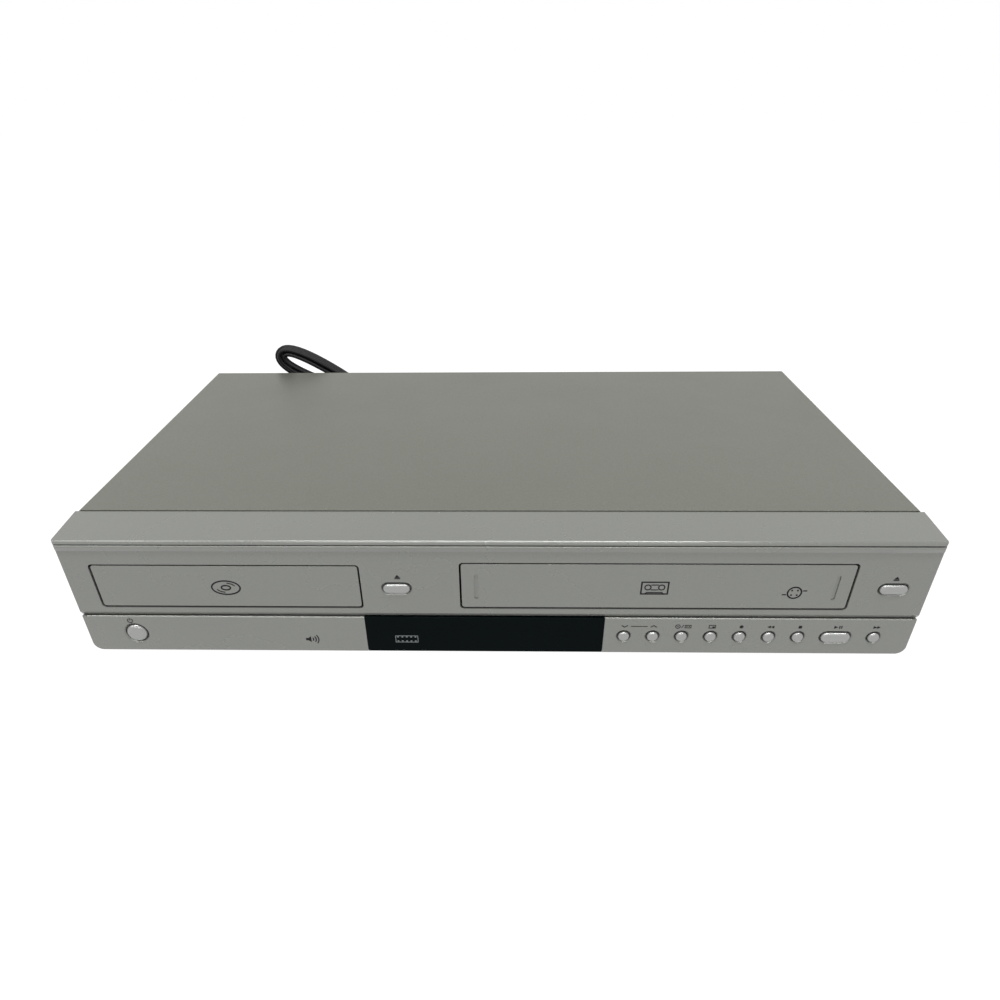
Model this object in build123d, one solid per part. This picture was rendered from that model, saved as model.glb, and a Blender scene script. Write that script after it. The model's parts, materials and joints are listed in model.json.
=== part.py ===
from build123d import *
import math
import os

os.makedirs("parts", exist_ok=True)

# Disc and cassette combo player, millimetres. X to the right, Y to the back, Z up.
# The origin lies on the floor, below the middle of the player without its cord.

# Driving sizes: case
WIDTH = 430.0
DEPTH = 240.0
HEIGHT = 82.0
COVER_INSET = 1.2
COVER_SHEET = 0.8
COVER_REAR_GAP = 8.0
COVER_CORNER = 2.0
FOOT_HEIGHT = 10.0
FOOT_RADIUS = 14.0
FOOT_SIDE_INSET = 35.0
FOOT_FRONT_INSET = 40.0
FOOT_REAR_INSET = 36.0
BASE_SHEET = 1.0
BASE_FLANGE = 7.0
SIDE_FLANGE = 13.0
REAR_SHEET = 1.0
GAP = 0.3
VENT_COUNT = 14
VENT_PITCH = 7.0
VENT_LENGTH = 22.0
VENT_WIDTH = 2.4
VENT_FIRST_Y = -30.0
VENT_Z = 46.0

# Driving sizes: front
SHELF_DEPTH = 25.8
SHELF_DROP = 0.6
SHELF_FALL = 2.6
ROLL_RADIUS = 1.9
ROLL_FRONT = 0.2
ROLL_HEIGHT = 1.95
GROOVE_HEIGHT = 0.7
GROOVE_DEPTH = 1.6
BEAD_RADIUS = 0.85
COVE_HEIGHT = 4.55
FACE_DEPTH = 1.3
BEVEL_TOP_Z = 35.1
BEVEL_DEPTH = 1.3
SEAM_Z = 32.4
SEAM_GAP = 0.6
TRIM_DEPTH = 1.5
TRIM_TOP_EDGE = 1.0
TRIM_BOTTOM_Z = 9.1
TRIM_CORNER = 4.8
SKIN = 2.2
PLAN_CORNER = 1.6
TONGUE = 5.0
TONGUE_SHEET = 1.5

# Driving sizes: doors in the face
DOOR_GAP = 0.9
DOOR_SHEET = 2.0
DOOR_SETBACK = 0.2
TRAY_DOOR_LEFT = -202.0
TRAY_DOOR_RIGHT = -66.5
TRAY_DOOR_BOTTOM = 38.0
TRAY_DOOR_BELOW_COVE = 8.0
CASSETTE_DOOR_LEFT = -17.1
CASSETTE_DOOR_RIGHT = 177.7
CASSETTE_DOOR_BOTTOM = 38.0
CASSETTE_DOOR_BELOW_COVE = 6.4
DOOR_CORNER = 2.0
DOOR_GROOVE_INSET = 8.4
DOOR_GROOVE_WIDTH = 2.0
DOOR_GROOVE_LENGTH = 15.1
DOOR_GROOVE_DEPTH = 0.6
DOOR_GROOVE_BELOW_MIDDLE = 0.55
DOOR_SWING = 84.0

# Driving sizes: display window and buttons
WINDOW_LEFT = -67.0
WINDOW_RIGHT = 57.0
WINDOW_SHEET = 1.8
WINDOW_LEDGE = 3.0
BUTTON_TRAVEL = 1.0
BUTTON_GAP = 0.45
DISH = 0.8
DISH_DEPTH = 0.7
SMALL_BUTTON_DIAMETER = 5.9
SMALL_BUTTON_Z = 20.0
SMALL_BUTTON_FIRST_X = 67.6
SMALL_BUTTON_PITCH = 14.98
FORWARD_X = 196.4
PLAY_X = 176.9
PLAY_WIDTH = 15.0
PLAY_HEIGHT = 6.0
POWER_X = -189.4
POWER_Z = 20.5
POWER_DIAMETER = 11.0
OPEN_X = -48.8
OPEN_Z = 50.6
EJECT_X = 197.6
EJECT_Z = 51.0
LARGE_BUTTON_WIDTH = 13.6
LARGE_BUTTON_HEIGHT = 5.5
BUTTON_PROUD = 0.9
BUTTON_LENGTH = 8.0
BUTTON_FLANGE = 1.2
BUTTON_FLANGE_SHEET = 1.0

# Worked out from the driving sizes
FRONT_Y = -DEPTH / 2
REAR_Y = DEPTH / 2 - COVER_REAR_GAP
SEAM_Y = FRONT_Y + SHELF_DEPTH
FACE_Y = FRONT_Y + FACE_DEPTH
SHELF_FRONT_Z = HEIGHT - SHELF_FALL
GROOVE_TOP_Z = SHELF_FRONT_Z - ROLL_HEIGHT
COVE_BOTTOM_Z = GROOVE_TOP_Z - COVE_HEIGHT
TRAY_DOOR_TOP = COVE_BOTTOM_Z - TRAY_DOOR_BELOW_COVE
CASSETTE_DOOR_TOP = COVE_BOTTOM_Z - CASSETTE_DOOR_BELOW_COVE
DOOR_GROOVE_Z = (CASSETTE_DOOR_BOTTOM + CASSETTE_DOOR_TOP) / 2 - DOOR_GROOVE_BELOW_MIDDLE
TRIM_Y = FRONT_Y + TRIM_DEPTH
COVER_X = WIDTH / 2 - COVER_INSET
FOOT_X = WIDTH / 2 - FOOT_SIDE_INSET
FOOT_FRONT_Y = FRONT_Y + FOOT_FRONT_INSET
FOOT_REAR_Y = DEPTH / 2 - FOOT_REAR_INSET
BASE_Z = FOOT_HEIGHT
FLOOR_Z = BASE_Z + BASE_SHEET
BEZEL_BOTTOM_Z = SEAM_Z + SEAM_GAP / 2
TRIM_TOP_Z = SEAM_Z - SEAM_GAP / 2
INNER_X = COVER_X - COVER_SHEET - GAP


def block(x0, x1, y0, y1, z0, z1):
    """A box between two corners."""
    middle = Pos((x0 + x1) / 2, (y0 + y1) / 2, (z0 + z1) / 2)
    return middle * Box(x1 - x0, y1 - y0, z1 - z0)


def post(x, y, z0, z1, radius):
    """An upright cylinder."""
    return Pos(x, y, (z0 + z1) / 2) * Cylinder(radius, z1 - z0)


def rod_y(x, z, y0, y1, radius):
    """A cylinder along Y."""
    return Pos(x, (y0 + y1) / 2, z) * Rot(90, 0, 0) * Cylinder(radius, y1 - y0)


def rod_x(y, z, x0, x1, radius):
    """A cylinder along X."""
    return Pos((x0 + x1) / 2, y, z) * Rot(0, 90, 0) * Cylinder(radius, x1 - x0)


def pill_y(x, z, y0, y1, width, height):
    """A prism along Y with round ends; a circle where the two sizes are equal."""
    plane = Plane(origin=(x, y1, z), x_dir=(1, 0, 0), z_dir=(0, -1, 0))
    if width - height < 0.01:
        outline = Circle(height / 2)
    else:
        outline = SlotOverall(width, height)
    return extrude(plane * outline, y1 - y0)


def pill_outline(x, z, y, width, height):
    """A round-ended outline in the plane across Y."""
    plane = Plane(origin=(x, y, z), x_dir=(1, 0, 0), z_dir=(0, -1, 0))
    return plane * (Circle(height / 2) if width - height < 0.01 else SlotOverall(width, height))


def dish_y(x, z, y, width, height, wider, depth):
    """The cutter of a round-ended dish that opens towards the front."""
    rim = pill_outline(x, z, y, width + 2 * wider, height + 2 * wider)
    floor = pill_outline(x, z, y + depth, width, height)
    return loft([rim, floor], ruled=True)


def panel_y(x0, x1, z0, z1, y0, y1, radius):
    """A plate across Y with round corners."""
    plane = Plane(origin=((x0 + x1) / 2, y1, (z0 + z1) / 2), x_dir=(1, 0, 0), z_dir=(0, -1, 0))
    return extrude(plane * RectangleRounded(x1 - x0, z1 - z0, radius), y1 - y0)


def ring(x, y, z0, z1, outer, inner):
    """An upright tube."""
    return post(x, y, z0, z1, outer) - post(x, y, z0 - 1, z1 + 1, inner)


def toothed(x, y, z0, z1, radius, teeth, depth):
    """An upright gear blank with square teeth cut into its rim."""
    gear = post(x, y, z0, z1, radius)
    width = math.pi * radius / teeth
    cutter = Box(2 * depth, width, z1 - z0 + 2)
    cuts = [
        Pos(x, y, (z0 + z1) / 2) * Rot(0, 0, 360 * i / teeth) * Pos(radius, 0, 0) * cutter
        for i in range(teeth)
    ]
    return gear - cuts


def save(name, shape):
    """Write one piece, or one group of like pieces, to its own file."""
    export_step(shape, f"parts/{name}.step")


# Front: the section of the upper bezel, as (depth behind the front plane, height)
def bezel_section():
    """The closed section of the upper bezel: shelf, roll, groove, bead, cove, face, bevel."""
    bead_z = GROOVE_TOP_Z - GROOVE_HEIGHT - BEAD_RADIUS
    lean = math.radians(25)
    top_z = HEIGHT - SHELF_DROP
    inner_z = top_z - SKIN
    inner_front = SHELF_FRONT_Z - SKIN
    lip = BEAD_RADIUS * (1 - math.cos(lean))
    plane = Plane(origin=(0, FRONT_Y, 0), x_dir=(0, 1, 0), z_dir=(1, 0, 0))
    with BuildSketch(plane) as section:
        with BuildLine():
            FilletPolyline(
                (SHELF_DEPTH - GAP, top_z),
                (ROLL_FRONT, SHELF_FRONT_Z),
                (ROLL_FRONT, GROOVE_TOP_Z),
                radius=ROLL_RADIUS,
            )
            Polyline(
                (ROLL_FRONT, GROOVE_TOP_Z),
                (GROOVE_DEPTH, GROOVE_TOP_Z),
                (GROOVE_DEPTH, GROOVE_TOP_Z - GROOVE_HEIGHT),
                (BEAD_RADIUS, GROOVE_TOP_Z - GROOVE_HEIGHT),
            )
            ThreePointArc(
                (BEAD_RADIUS, GROOVE_TOP_Z - GROOVE_HEIGHT),
                (BEAD_RADIUS * (1 - math.cos(lean)), bead_z + BEAD_RADIUS * math.sin(lean)),
                (lip, bead_z - BEAD_RADIUS * math.sin(lean)),
            )
            Polyline(
                (lip, bead_z - BEAD_RADIUS * math.sin(lean)),
                (FACE_DEPTH, COVE_BOTTOM_Z),
                (FACE_DEPTH, BEVEL_TOP_Z),
                (FACE_DEPTH + BEVEL_DEPTH, BEZEL_BOTTOM_Z),
                (FACE_DEPTH + BEVEL_DEPTH + SKIN, BEZEL_BOTTOM_Z),
                (FACE_DEPTH + SKIN, BEVEL_TOP_Z + 1.0),
                (FACE_DEPTH + SKIN, COVE_BOTTOM_Z),
                (GROOVE_DEPTH + SKIN, inner_front),
                (SHELF_DEPTH - GAP, inner_z),
                (SHELF_DEPTH - GAP, top_z),
            )
        make_face()
    return section.sketch


def plan_prism(z0, z1):
    """The plan outline of the front, with its two front corners rounded."""
    prism = block(-WIDTH / 2, WIDTH / 2, FRONT_Y, SEAM_Y + TONGUE, z0, z1)
    corners = prism.edges().filter_by(Axis.Z).group_by(Axis.Y)[0]
    return fillet(corners, PLAN_CORNER)


def front_bezel():
    """The upper moulding, from the shelf down to the seam with the lower trim."""
    section = bezel_section()
    shell = Pos(-WIDTH / 2, 0, 0) * extrude(section, WIDTH)
    outer = Wire.make_polygon(
        [
            (SHELF_DEPTH - GAP, HEIGHT - SHELF_DROP),
            (ROLL_FRONT + ROLL_RADIUS, SHELF_FRONT_Z - 0.1),
            (FACE_DEPTH, COVE_BOTTOM_Z + 2),
            (FACE_DEPTH, BEVEL_TOP_Z),
            (FACE_DEPTH + BEVEL_DEPTH, BEZEL_BOTTOM_Z),
            (SHELF_DEPTH - GAP, BEZEL_BOTTOM_Z),
        ]
    )
    end_face = Plane(origin=(0, FRONT_Y, 0), x_dir=(0, 1, 0), z_dir=(1, 0, 0)) * Face(outer)
    ends = [Pos(x, 0, 0) * extrude(end_face, SKIN) for x in (-WIDTH / 2, WIDTH / 2 - SKIN)]
    body = shell + ends
    tongue_z = HEIGHT - COVER_SHEET - GAP
    tongue_x = INNER_X - COVER_CORNER
    body += block(-tongue_x, tongue_x, SEAM_Y - 4, SEAM_Y + TONGUE, tongue_z - TONGUE_SHEET, tongue_z)
    for side in (-1, 1):
        x0, x1 = sorted((side * (INNER_X - TONGUE_SHEET), side * INNER_X))
        body += block(x0, x1, SEAM_Y - 3, SEAM_Y + TONGUE, BEZEL_BOTTOM_Z, HEIGHT - 6)
        x0, x1 = sorted((side * (INNER_X - TONGUE_SHEET), side * (WIDTH / 2 - SKIN / 2)))
        body += block(x0, x1, SEAM_Y - 3, SEAM_Y - GAP, BEZEL_BOTTOM_Z, HEIGHT - 6)
    body = body & plan_prism(BEZEL_BOTTOM_Z - 1, HEIGHT)
    cut_y0 = FRONT_Y - 1
    cut_y1 = FACE_Y + SKIN + 3
    body -= panel_y(
        TRAY_DOOR_LEFT, TRAY_DOOR_RIGHT, TRAY_DOOR_BOTTOM, TRAY_DOOR_TOP, cut_y0, cut_y1, DOOR_CORNER
    )
    body -= panel_y(
        CASSETTE_DOOR_LEFT,
        CASSETTE_DOOR_RIGHT,
        CASSETTE_DOOR_BOTTOM,
        CASSETTE_DOOR_TOP,
        cut_y0,
        cut_y1,
        DOOR_CORNER,
    )
    for x, z in ((OPEN_X, OPEN_Z), (EJECT_X, EJECT_Z)):
        body -= button_hole(x, z, FACE_Y, LARGE_BUTTON_WIDTH, LARGE_BUTTON_HEIGHT)
    for x in (CASSETTE_DOOR_LEFT - 6, CASSETTE_DOOR_RIGHT + 2):
        ear = block(x, x + 4, FACE_Y + SKIN - 0.5, HINGE_Y + 3, HINGE_Z - 3, HINGE_Z + 3)
        body += ear - rod_x(HINGE_Y, HINGE_Z, x - 1, x + 5, HINGE_PIN + 0.05)
    return body


def button_hole(x, z, face_y, width, height):
    """The cutter of a button's hole and the dish round it."""
    hole = pill_y(x, z, face_y - 2, face_y + 9, width + 2 * BUTTON_GAP, height + 2 * BUTTON_GAP)
    wide = width + 2 * BUTTON_GAP
    high = height + 2 * BUTTON_GAP
    return hole + dish_y(x, z, face_y, wide, high, DISH, DISH_DEPTH)


def lower_trim():
    """The lower moulding: two front lengths, a ledge behind the window, and end walls."""
    y1 = TRIM_Y + SKIN
    plate = block(-WIDTH / 2, WIDTH / 2, TRIM_Y, y1, TRIM_BOTTOM_Z, TRIM_TOP_Z)
    plate = fillet(plate.edges().filter_by(Axis.X).group_by(Axis.Y)[0].group_by(Axis.Z)[-1], TRIM_TOP_EDGE)
    window_gap = GAP / 2
    plate -= block(
        WINDOW_LEFT - window_gap, WINDOW_RIGHT + window_gap, TRIM_Y - 1, y1 + 1, TRIM_BOTTOM_Z - 1, TRIM_TOP_Z + 1
    )
    ledge_y = TRIM_Y + WINDOW_SHEET + GAP
    ledge = block(
        WINDOW_LEFT - 4, WINDOW_RIGHT + 4, ledge_y, ledge_y + SKIN, TRIM_BOTTOM_Z, TRIM_TOP_Z
    )
    ledge -= block(
        WINDOW_LEFT + WINDOW_LEDGE,
        WINDOW_RIGHT - WINDOW_LEDGE,
        ledge_y - 1,
        ledge_y + SKIN + 1,
        TRIM_BOTTOM_Z + WINDOW_LEDGE,
        TRIM_TOP_Z - WINDOW_LEDGE,
    )
    body = plate + ledge
    for side in (-1, 1):
        x0, x1 = sorted((side * (WIDTH / 2 - SKIN), side * WIDTH / 2))
        body += block(x0, x1, TRIM_Y, SEAM_Y - GAP, TRIM_BOTTOM_Z, TRIM_TOP_Z)
    body += block(-WIDTH / 2, WIDTH / 2, TRIM_Y + SKIN - 0.2, SEAM_Y - GAP, TRIM_BOTTOM_Z, BASE_Z - GAP)
    front = panel_y(
        -WIDTH / 2, WIDTH / 2, TRIM_BOTTOM_Z, TRIM_TOP_Z + 20, FRONT_Y - 1, SEAM_Y + 1, TRIM_CORNER
    )
    body = body & front & plan_prism(TRIM_BOTTOM_Z - 1, TRIM_TOP_Z + 1)
    for x in SMALL_BUTTONS.values():
        body -= button_hole(x, SMALL_BUTTON_Z, TRIM_Y, SMALL_BUTTON_DIAMETER, SMALL_BUTTON_DIAMETER)
    body -= button_hole(PLAY_X, SMALL_BUTTON_Z, TRIM_Y, PLAY_WIDTH, PLAY_HEIGHT)
    body -= button_hole(POWER_X, POWER_Z, TRIM_Y, POWER_DIAMETER, POWER_DIAMETER)
    return body


def display_window():
    """The gloss window between the two lengths of the lower trim."""
    pane = block(
        WINDOW_LEFT, WINDOW_RIGHT, TRIM_Y + 0.1, TRIM_Y + 0.1 + WINDOW_SHEET, TRIM_BOTTOM_Z, TRIM_TOP_Z
    )
    front_top = pane.edges().filter_by(Axis.X).group_by(Axis.Y)[0].group_by(Axis.Z)[-1]
    return fillet(front_top, TRIM_TOP_EDGE)


def button(x, z, face_y, width, height):
    """A push button: its head, its stem through the face and the flange behind the face."""
    head = pill_y(x, z, face_y - BUTTON_PROUD, face_y + BUTTON_LENGTH, width, height)
    head = fillet(head.edges().group_by(Axis.Y)[0], min(width, height) * 0.22)
    flange_y = face_y + SKIN + GAP
    flange = pill_y(
        x, z, flange_y, flange_y + BUTTON_FLANGE_SHEET, width + 2 * BUTTON_FLANGE, height + 2 * BUTTON_FLANGE
    )
    return head + flange


SMALL_NAMES = (
    "channel_down_button",
    "channel_up_button",
    "source_button",
    "view_button",
    "record_button",
    "rewind_button",
    "stop_button",
)
SMALL_BUTTONS = {
    name: SMALL_BUTTON_FIRST_X + i * SMALL_BUTTON_PITCH for i, name in enumerate(SMALL_NAMES)
}
SMALL_BUTTONS["forward_button"] = FORWARD_X

# Hinge line of the cassette door, behind its top edge
HINGE_PIN = 1.0
HINGE_Y = FACE_Y + 5.2
HINGE_Z = CASSETTE_DOOR_TOP - 1.2


def tray_door():
    """The flap on the front of the disc tray."""
    y0 = FACE_Y + DOOR_SETBACK
    door = panel_y(
        TRAY_DOOR_LEFT + DOOR_GAP,
        TRAY_DOOR_RIGHT - DOOR_GAP,
        TRAY_DOOR_BOTTOM + DOOR_GAP,
        TRAY_DOOR_TOP - DOOR_GAP,
        y0,
        y0 + DOOR_SHEET,
        DOOR_CORNER - DOOR_GAP / 2,
    )
    return fillet(door.edges().group_by(Axis.Y)[0], 0.35)


def cassette_door():
    """The flap of the cassette slot, with two upright grooves, arms and hinge pins."""
    y0 = FACE_Y + DOOR_SETBACK
    left = CASSETTE_DOOR_LEFT + DOOR_GAP
    right = CASSETTE_DOOR_RIGHT - DOOR_GAP
    door = panel_y(
        left,
        right,
        CASSETTE_DOOR_BOTTOM + DOOR_GAP,
        CASSETTE_DOOR_TOP - DOOR_GAP,
        y0,
        y0 + DOOR_SHEET,
        DOOR_CORNER - DOOR_GAP / 2,
    )
    door = fillet(door.edges().group_by(Axis.Y)[0], 0.35)
    for x in (CASSETTE_DOOR_LEFT + DOOR_GROOVE_INSET, CASSETTE_DOOR_RIGHT - DOOR_GROOVE_INSET):
        plane = Plane(origin=(x, y0 - 1, DOOR_GROOVE_Z), x_dir=(0, 0, 1), z_dir=(0, 1, 0))
        groove = extrude(plane * SlotOverall(DOOR_GROOVE_LENGTH, DOOR_GROOVE_WIDTH), 1 + DOOR_GROOVE_DEPTH)
        door -= groove
    for edge, outward in ((left, -1), (right, 1)):
        x0, x1 = sorted((edge - outward * 1.0, edge - outward * 4.0))
        door += block(x0, x1, y0 + DOOR_SHEET - 0.2, HINGE_Y + 1.8, HINGE_Z - 1.8, HINGE_Z + 1.2)
        x0, x1 = sorted((edge - outward * 2.0, edge + outward * (DOOR_GAP + 5.6)))
        door += rod_x(HINGE_Y, HINGE_Z, x0, x1, HINGE_PIN)
    return door


def door_spring():
    """The spring round the right hinge pin of the cassette door, as a plain sleeve."""
    x0 = CASSETTE_DOOR_RIGHT - DOOR_GAP + 0.2
    x1 = x0 + 2.2
    outer = rod_x(HINGE_Y, HINGE_Z, x0, x1, HINGE_PIN + GAP + 0.7)
    return outer - rod_x(HINGE_Y, HINGE_Z, x0 - 1, x1 + 1, HINGE_PIN + GAP)


# Case
FOOT_PLACES = [(sx * FOOT_X, y) for sx in (-1, 1) for y in (FOOT_FRONT_Y, FOOT_REAR_Y)]
SCREW_RADIUS = 1.5
SCREW_HEAD = 3.4
SCREW_LENGTH = 5.0
SIDE_SCREW_Y = (-20.0, REAR_Y - 24.0)
SIDE_SCREW_Z = 18.0
REAR_SCREW_INSET = 25.0
REAR_SCREW_X = (REAR_SCREW_INSET - WIDTH / 2, -10.0, WIDTH / 2 - REAR_SCREW_INSET)
REAR_SCREW_Z = HEIGHT - 6.0


def top_cover():
    """The bent steel sheet over the top and both sides, with vent slots in the sides."""
    plane = Plane(origin=(0, REAR_Y, 0), x_dir=(1, 0, 0), z_dir=(0, -1, 0))
    outer = Rectangle(2 * COVER_X, HEIGHT - BASE_Z, align=(Align.CENTER, Align.MIN))
    outer = fillet(outer.vertices().group_by(Axis.Y)[-1], COVER_CORNER)
    inner = Rectangle(
        2 * (COVER_X - COVER_SHEET), HEIGHT - BASE_Z - COVER_SHEET, align=(Align.CENTER, Align.MIN)
    )
    inner = fillet(inner.vertices().group_by(Axis.Y)[-1], COVER_CORNER - COVER_SHEET)
    outline = Pos(0, BASE_Z) * (outer - inner)
    body = extrude(plane * outline, REAR_Y - SEAM_Y)
    slots = []
    for i in range(VENT_COUNT):
        y = VENT_FIRST_Y + i * VENT_PITCH
        plane = Plane(origin=(-WIDTH / 2 - 5, y, VENT_Z), x_dir=(0, 0, 1), z_dir=(1, 0, 0))
        slots.append(extrude(plane * SlotOverall(VENT_LENGTH, VENT_WIDTH), WIDTH + 10))
    body -= slots
    for y in SIDE_SCREW_Y:
        body -= rod_x(y, SIDE_SCREW_Z, -WIDTH / 2, WIDTH / 2, SCREW_RADIUS + 0.2)
    return body


def chassis_base():
    """The steel pan of the case, its edges turned up."""
    x = INNER_X
    y0 = SEAM_Y + TONGUE + 1
    y1 = REAR_Y - REAR_SHEET - 2 * GAP
    pan = block(-x, x, TRIM_Y + SKIN + 8, y1, BASE_Z, FLOOR_Z)
    pan += block(-x, -x + BASE_SHEET, y0, y1, BASE_Z, BASE_Z + SIDE_FLANGE)
    pan += block(x - BASE_SHEET, x, y0, y1, BASE_Z, BASE_Z + SIDE_FLANGE)
    pan += block(-x, x, y1 - BASE_SHEET, y1, BASE_Z, BASE_Z + BASE_FLANGE)
    for i in range(9):
        vent = Pos(-150 + i * 9, 30, BASE_Z) * Box(3, 40, 8)
        pan -= fillet(vent.edges().filter_by(Axis.Z), 1.4)
    for x, y in FOOT_PLACES:
        pan -= post(x, y, BASE_Z - 1, FLOOR_Z + 1, SCREW_RADIUS + 0.2)
    for side in (-1, 1):
        for y in SIDE_SCREW_Y:
            x0, x1 = sorted((side * (INNER_X - 3), side * (INNER_X + 1)))
            pan -= rod_x(y, SIDE_SCREW_Z, x0, x1, SCREW_RADIUS + 0.2)
    return pan


def feet():
    """Four round feet, each with the stem that holds it in the pan."""
    group = []
    for x, y in FOOT_PLACES:
        foot = post(x, y, 0, FOOT_HEIGHT, FOOT_RADIUS)
        foot = chamfer(foot.edges().group_by(Axis.Z)[0], 1.2)
        foot += post(x, y, FOOT_HEIGHT - 1, FLOOR_Z + 2, SCREW_RADIUS)
        group.append(foot)
    return Compound(children=group)


def rear_panel():
    """The rear steel sheet, with the holes of the sockets and of the cord."""
    y0 = REAR_Y - REAR_SHEET - GAP
    z1 = HEIGHT - COVER_SHEET - GAP
    panel = block(-INNER_X, INNER_X, y0, y0 + REAR_SHEET, BASE_Z, z1)
    panel = fillet(panel.edges().filter_by(Axis.Y).group_by(Axis.Z)[-1], COVER_CORNER)
    panel -= [rod_y(x, z, y0 - 1, y0 + 2, AV_BARREL + 1.0) for x, z in AV_PLACES]
    panel -= [rod_y(AERIAL_X, z, y0 - 1, y0 + 2, AERIAL_BARREL + 0.8) for z in AERIAL_Z]
    panel -= rod_y(CORD_EXIT_X, CORD_EXIT_Z, y0 - 1, y0 + 2, RELIEF_NECK + GAP)
    for i in range(10):
        vent = Pos(-20 + i * 9, y0 + REAR_SHEET / 2, 62) * Box(3, 4, 16)
        panel -= fillet(vent.edges().filter_by(Axis.Y), 1.4)
    panel -= [rod_y(x, REAR_SCREW_Z, y0 - 1, y0 + 2, SCREW_RADIUS + 0.2) for x in REAR_SCREW_X]
    return panel


def case_screws():
    """Four screws in the sides of the cover and three in the rear panel."""
    group = []
    for side in (-1, 1):
        for y in SIDE_SCREW_Y:
            x0, x1 = sorted((side * (COVER_X - SCREW_LENGTH), side * (COVER_X + 1)))
            shank = rod_x(y, SIDE_SCREW_Z, x0, x1, SCREW_RADIUS)
            x0, x1 = sorted((side * COVER_X, side * (COVER_X + COVER_INSET)))
            head = rod_x(y, SIDE_SCREW_Z, x0, x1, SCREW_HEAD)
            x0, x1 = sorted((side * (COVER_X + 0.7), side * (COVER_X + 3)))
            cross = block(x0, x1, y - 0.5, y + 0.5, SIDE_SCREW_Z - 2, SIDE_SCREW_Z + 2)
            cross += block(x0, x1, y - 2, y + 2, SIDE_SCREW_Z - 0.5, SIDE_SCREW_Z + 0.5)
            group.append(shank + head - cross)
    y = REAR_Y - GAP
    for x in REAR_SCREW_X:
        screw = rod_y(x, REAR_SCREW_Z, y - SCREW_LENGTH, y + 1, SCREW_RADIUS)
        screw += rod_y(x, REAR_SCREW_Z, y, y + 1.6, SCREW_HEAD)
        screw -= block(x - 0.5, x + 0.5, y + 0.8, y + 3, REAR_SCREW_Z - 2, REAR_SCREW_Z + 2)
        screw -= block(x - 2, x + 2, y + 0.8, y + 3, REAR_SCREW_Z - 0.5, REAR_SCREW_Z + 0.5)
        group.append(screw)
    return Compound(children=group)


# Rear sockets
AV_COLUMNS = 5
AV_FIRST_X = -112.0
AV_PITCH = 16.0
AV_ROWS_Z = (30.0, 48.0)
AV_BARREL = 4.2
AV_BORE = 1.7
AV_PLACES = [(AV_FIRST_X + i * AV_PITCH, z) for i in range(AV_COLUMNS) for z in AV_ROWS_Z]
AERIAL_INSET = 19.0
AERIAL_X = WIDTH / 2 - AERIAL_INSET
TUNER_HALF = 11.0
TUNER_DEPTH = 60.0
AERIAL_Z = (32.0, 54.0)
AERIAL_BARREL = 4.7
CORD_EXIT_X = -186.0
CORD_EXIT_Z = 32.0
RELIEF_NECK = 4.4
BOARD = 1.6
BOARD_Z = FLOOR_Z + 6.0
REAR_FACE_Y = REAR_Y - REAR_SHEET - GAP
SUPPLY_X = 8.0 - WIDTH / 2
SUPPLY_WIDTH = 79.0
SUPPLY_DEPTH = 41.7
BOARD_DEPTH = 32.7
MAIN_BOARD_RIGHT = -26.0
KEY_BOARD_INSET = 10.0


def main_board():
    """The signal board, an L beside and behind the disc drive, with chips and standing capacitors."""
    y1 = REAR_FACE_Y - 14
    y0 = y1 - BOARD_DEPTH
    x0 = SUPPLY_X + SUPPLY_WIDTH + 8
    x1 = MAIN_BOARD_RIGHT
    board = block(x0, x1, y0, y1, BOARD_Z, BOARD_Z + BOARD)
    front_y = FRONT_Y + 40
    board += block(x1 - 34, x1, front_y, y0 + 2, BOARD_Z, BOARD_Z + BOARD)
    top = BOARD_Z + BOARD
    board += block(x1 - 28, x1 - 8, -40, -20, top - 0.1, top + 2.0)
    board += block(x1 - 26, x1 - 10, 10, 26, top - 0.1, top + 1.8)
    board += block(x0 + 10, x0 + 28, y0 + 6, y0 + 18, top - 0.1, top + 2.0)
    board += block(x1 - 32, x1 - 4, front_y + 8, front_y + 14, top - 0.1, top + 6)
    board += [post(x1 - 20 + 9 * i, y0 - 14, top - 0.1, top + 9, 3.0) for i in range(2)]
    for x, y in ((x0 + 4, y1 - 6), (x1 - 14, y1 - 6), (x1 - 17, front_y + 20), (x1 - 30, y0 - 24)):
        board += post(x, y, FLOOR_Z, BOARD_Z + 0.1, 3)
    return board


def av_sockets():
    """Two rows of round audio and video sockets on one moulded block."""
    x0 = AV_FIRST_X - AV_PITCH / 2
    x1 = AV_FIRST_X + (AV_COLUMNS - 0.5) * AV_PITCH
    z0 = BOARD_Z + BOARD
    body = block(x0, x1, REAR_FACE_Y - 13.5, REAR_FACE_Y - GAP, z0, AV_ROWS_Z[-1] + 9)
    body += [rod_y(x, z, REAR_FACE_Y - 1, DEPTH / 2, AV_BARREL) for x, z in AV_PLACES]
    body -= [rod_y(x, z, DEPTH / 2 - 9, DEPTH / 2 + 1, AV_BORE) for x, z in AV_PLACES]
    return body


def aerial_sockets():
    """The screened tuner box with its two threaded aerial sockets."""
    low = BASE_Z + BASE_FLANGE + GAP
    x0, x1 = AERIAL_X - TUNER_HALF, AERIAL_X + TUNER_HALF
    y0 = REAR_FACE_Y - TUNER_DEPTH
    body = block(x0, x1, y0, REAR_FACE_Y - GAP, low, AERIAL_Z[-1] + 10)
    body += block(x0, x1, y0, REAR_FACE_Y - 6, FLOOR_Z, low + 0.1)
    for z in AERIAL_Z:
        body += rod_y(AERIAL_X, z, REAR_FACE_Y - 1, DEPTH / 2 - 0.5, AERIAL_BARREL)
        body -= rod_y(AERIAL_X, z, DEPTH / 2 - 8, DEPTH / 2 + 1, 1.2)
    return body


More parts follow.
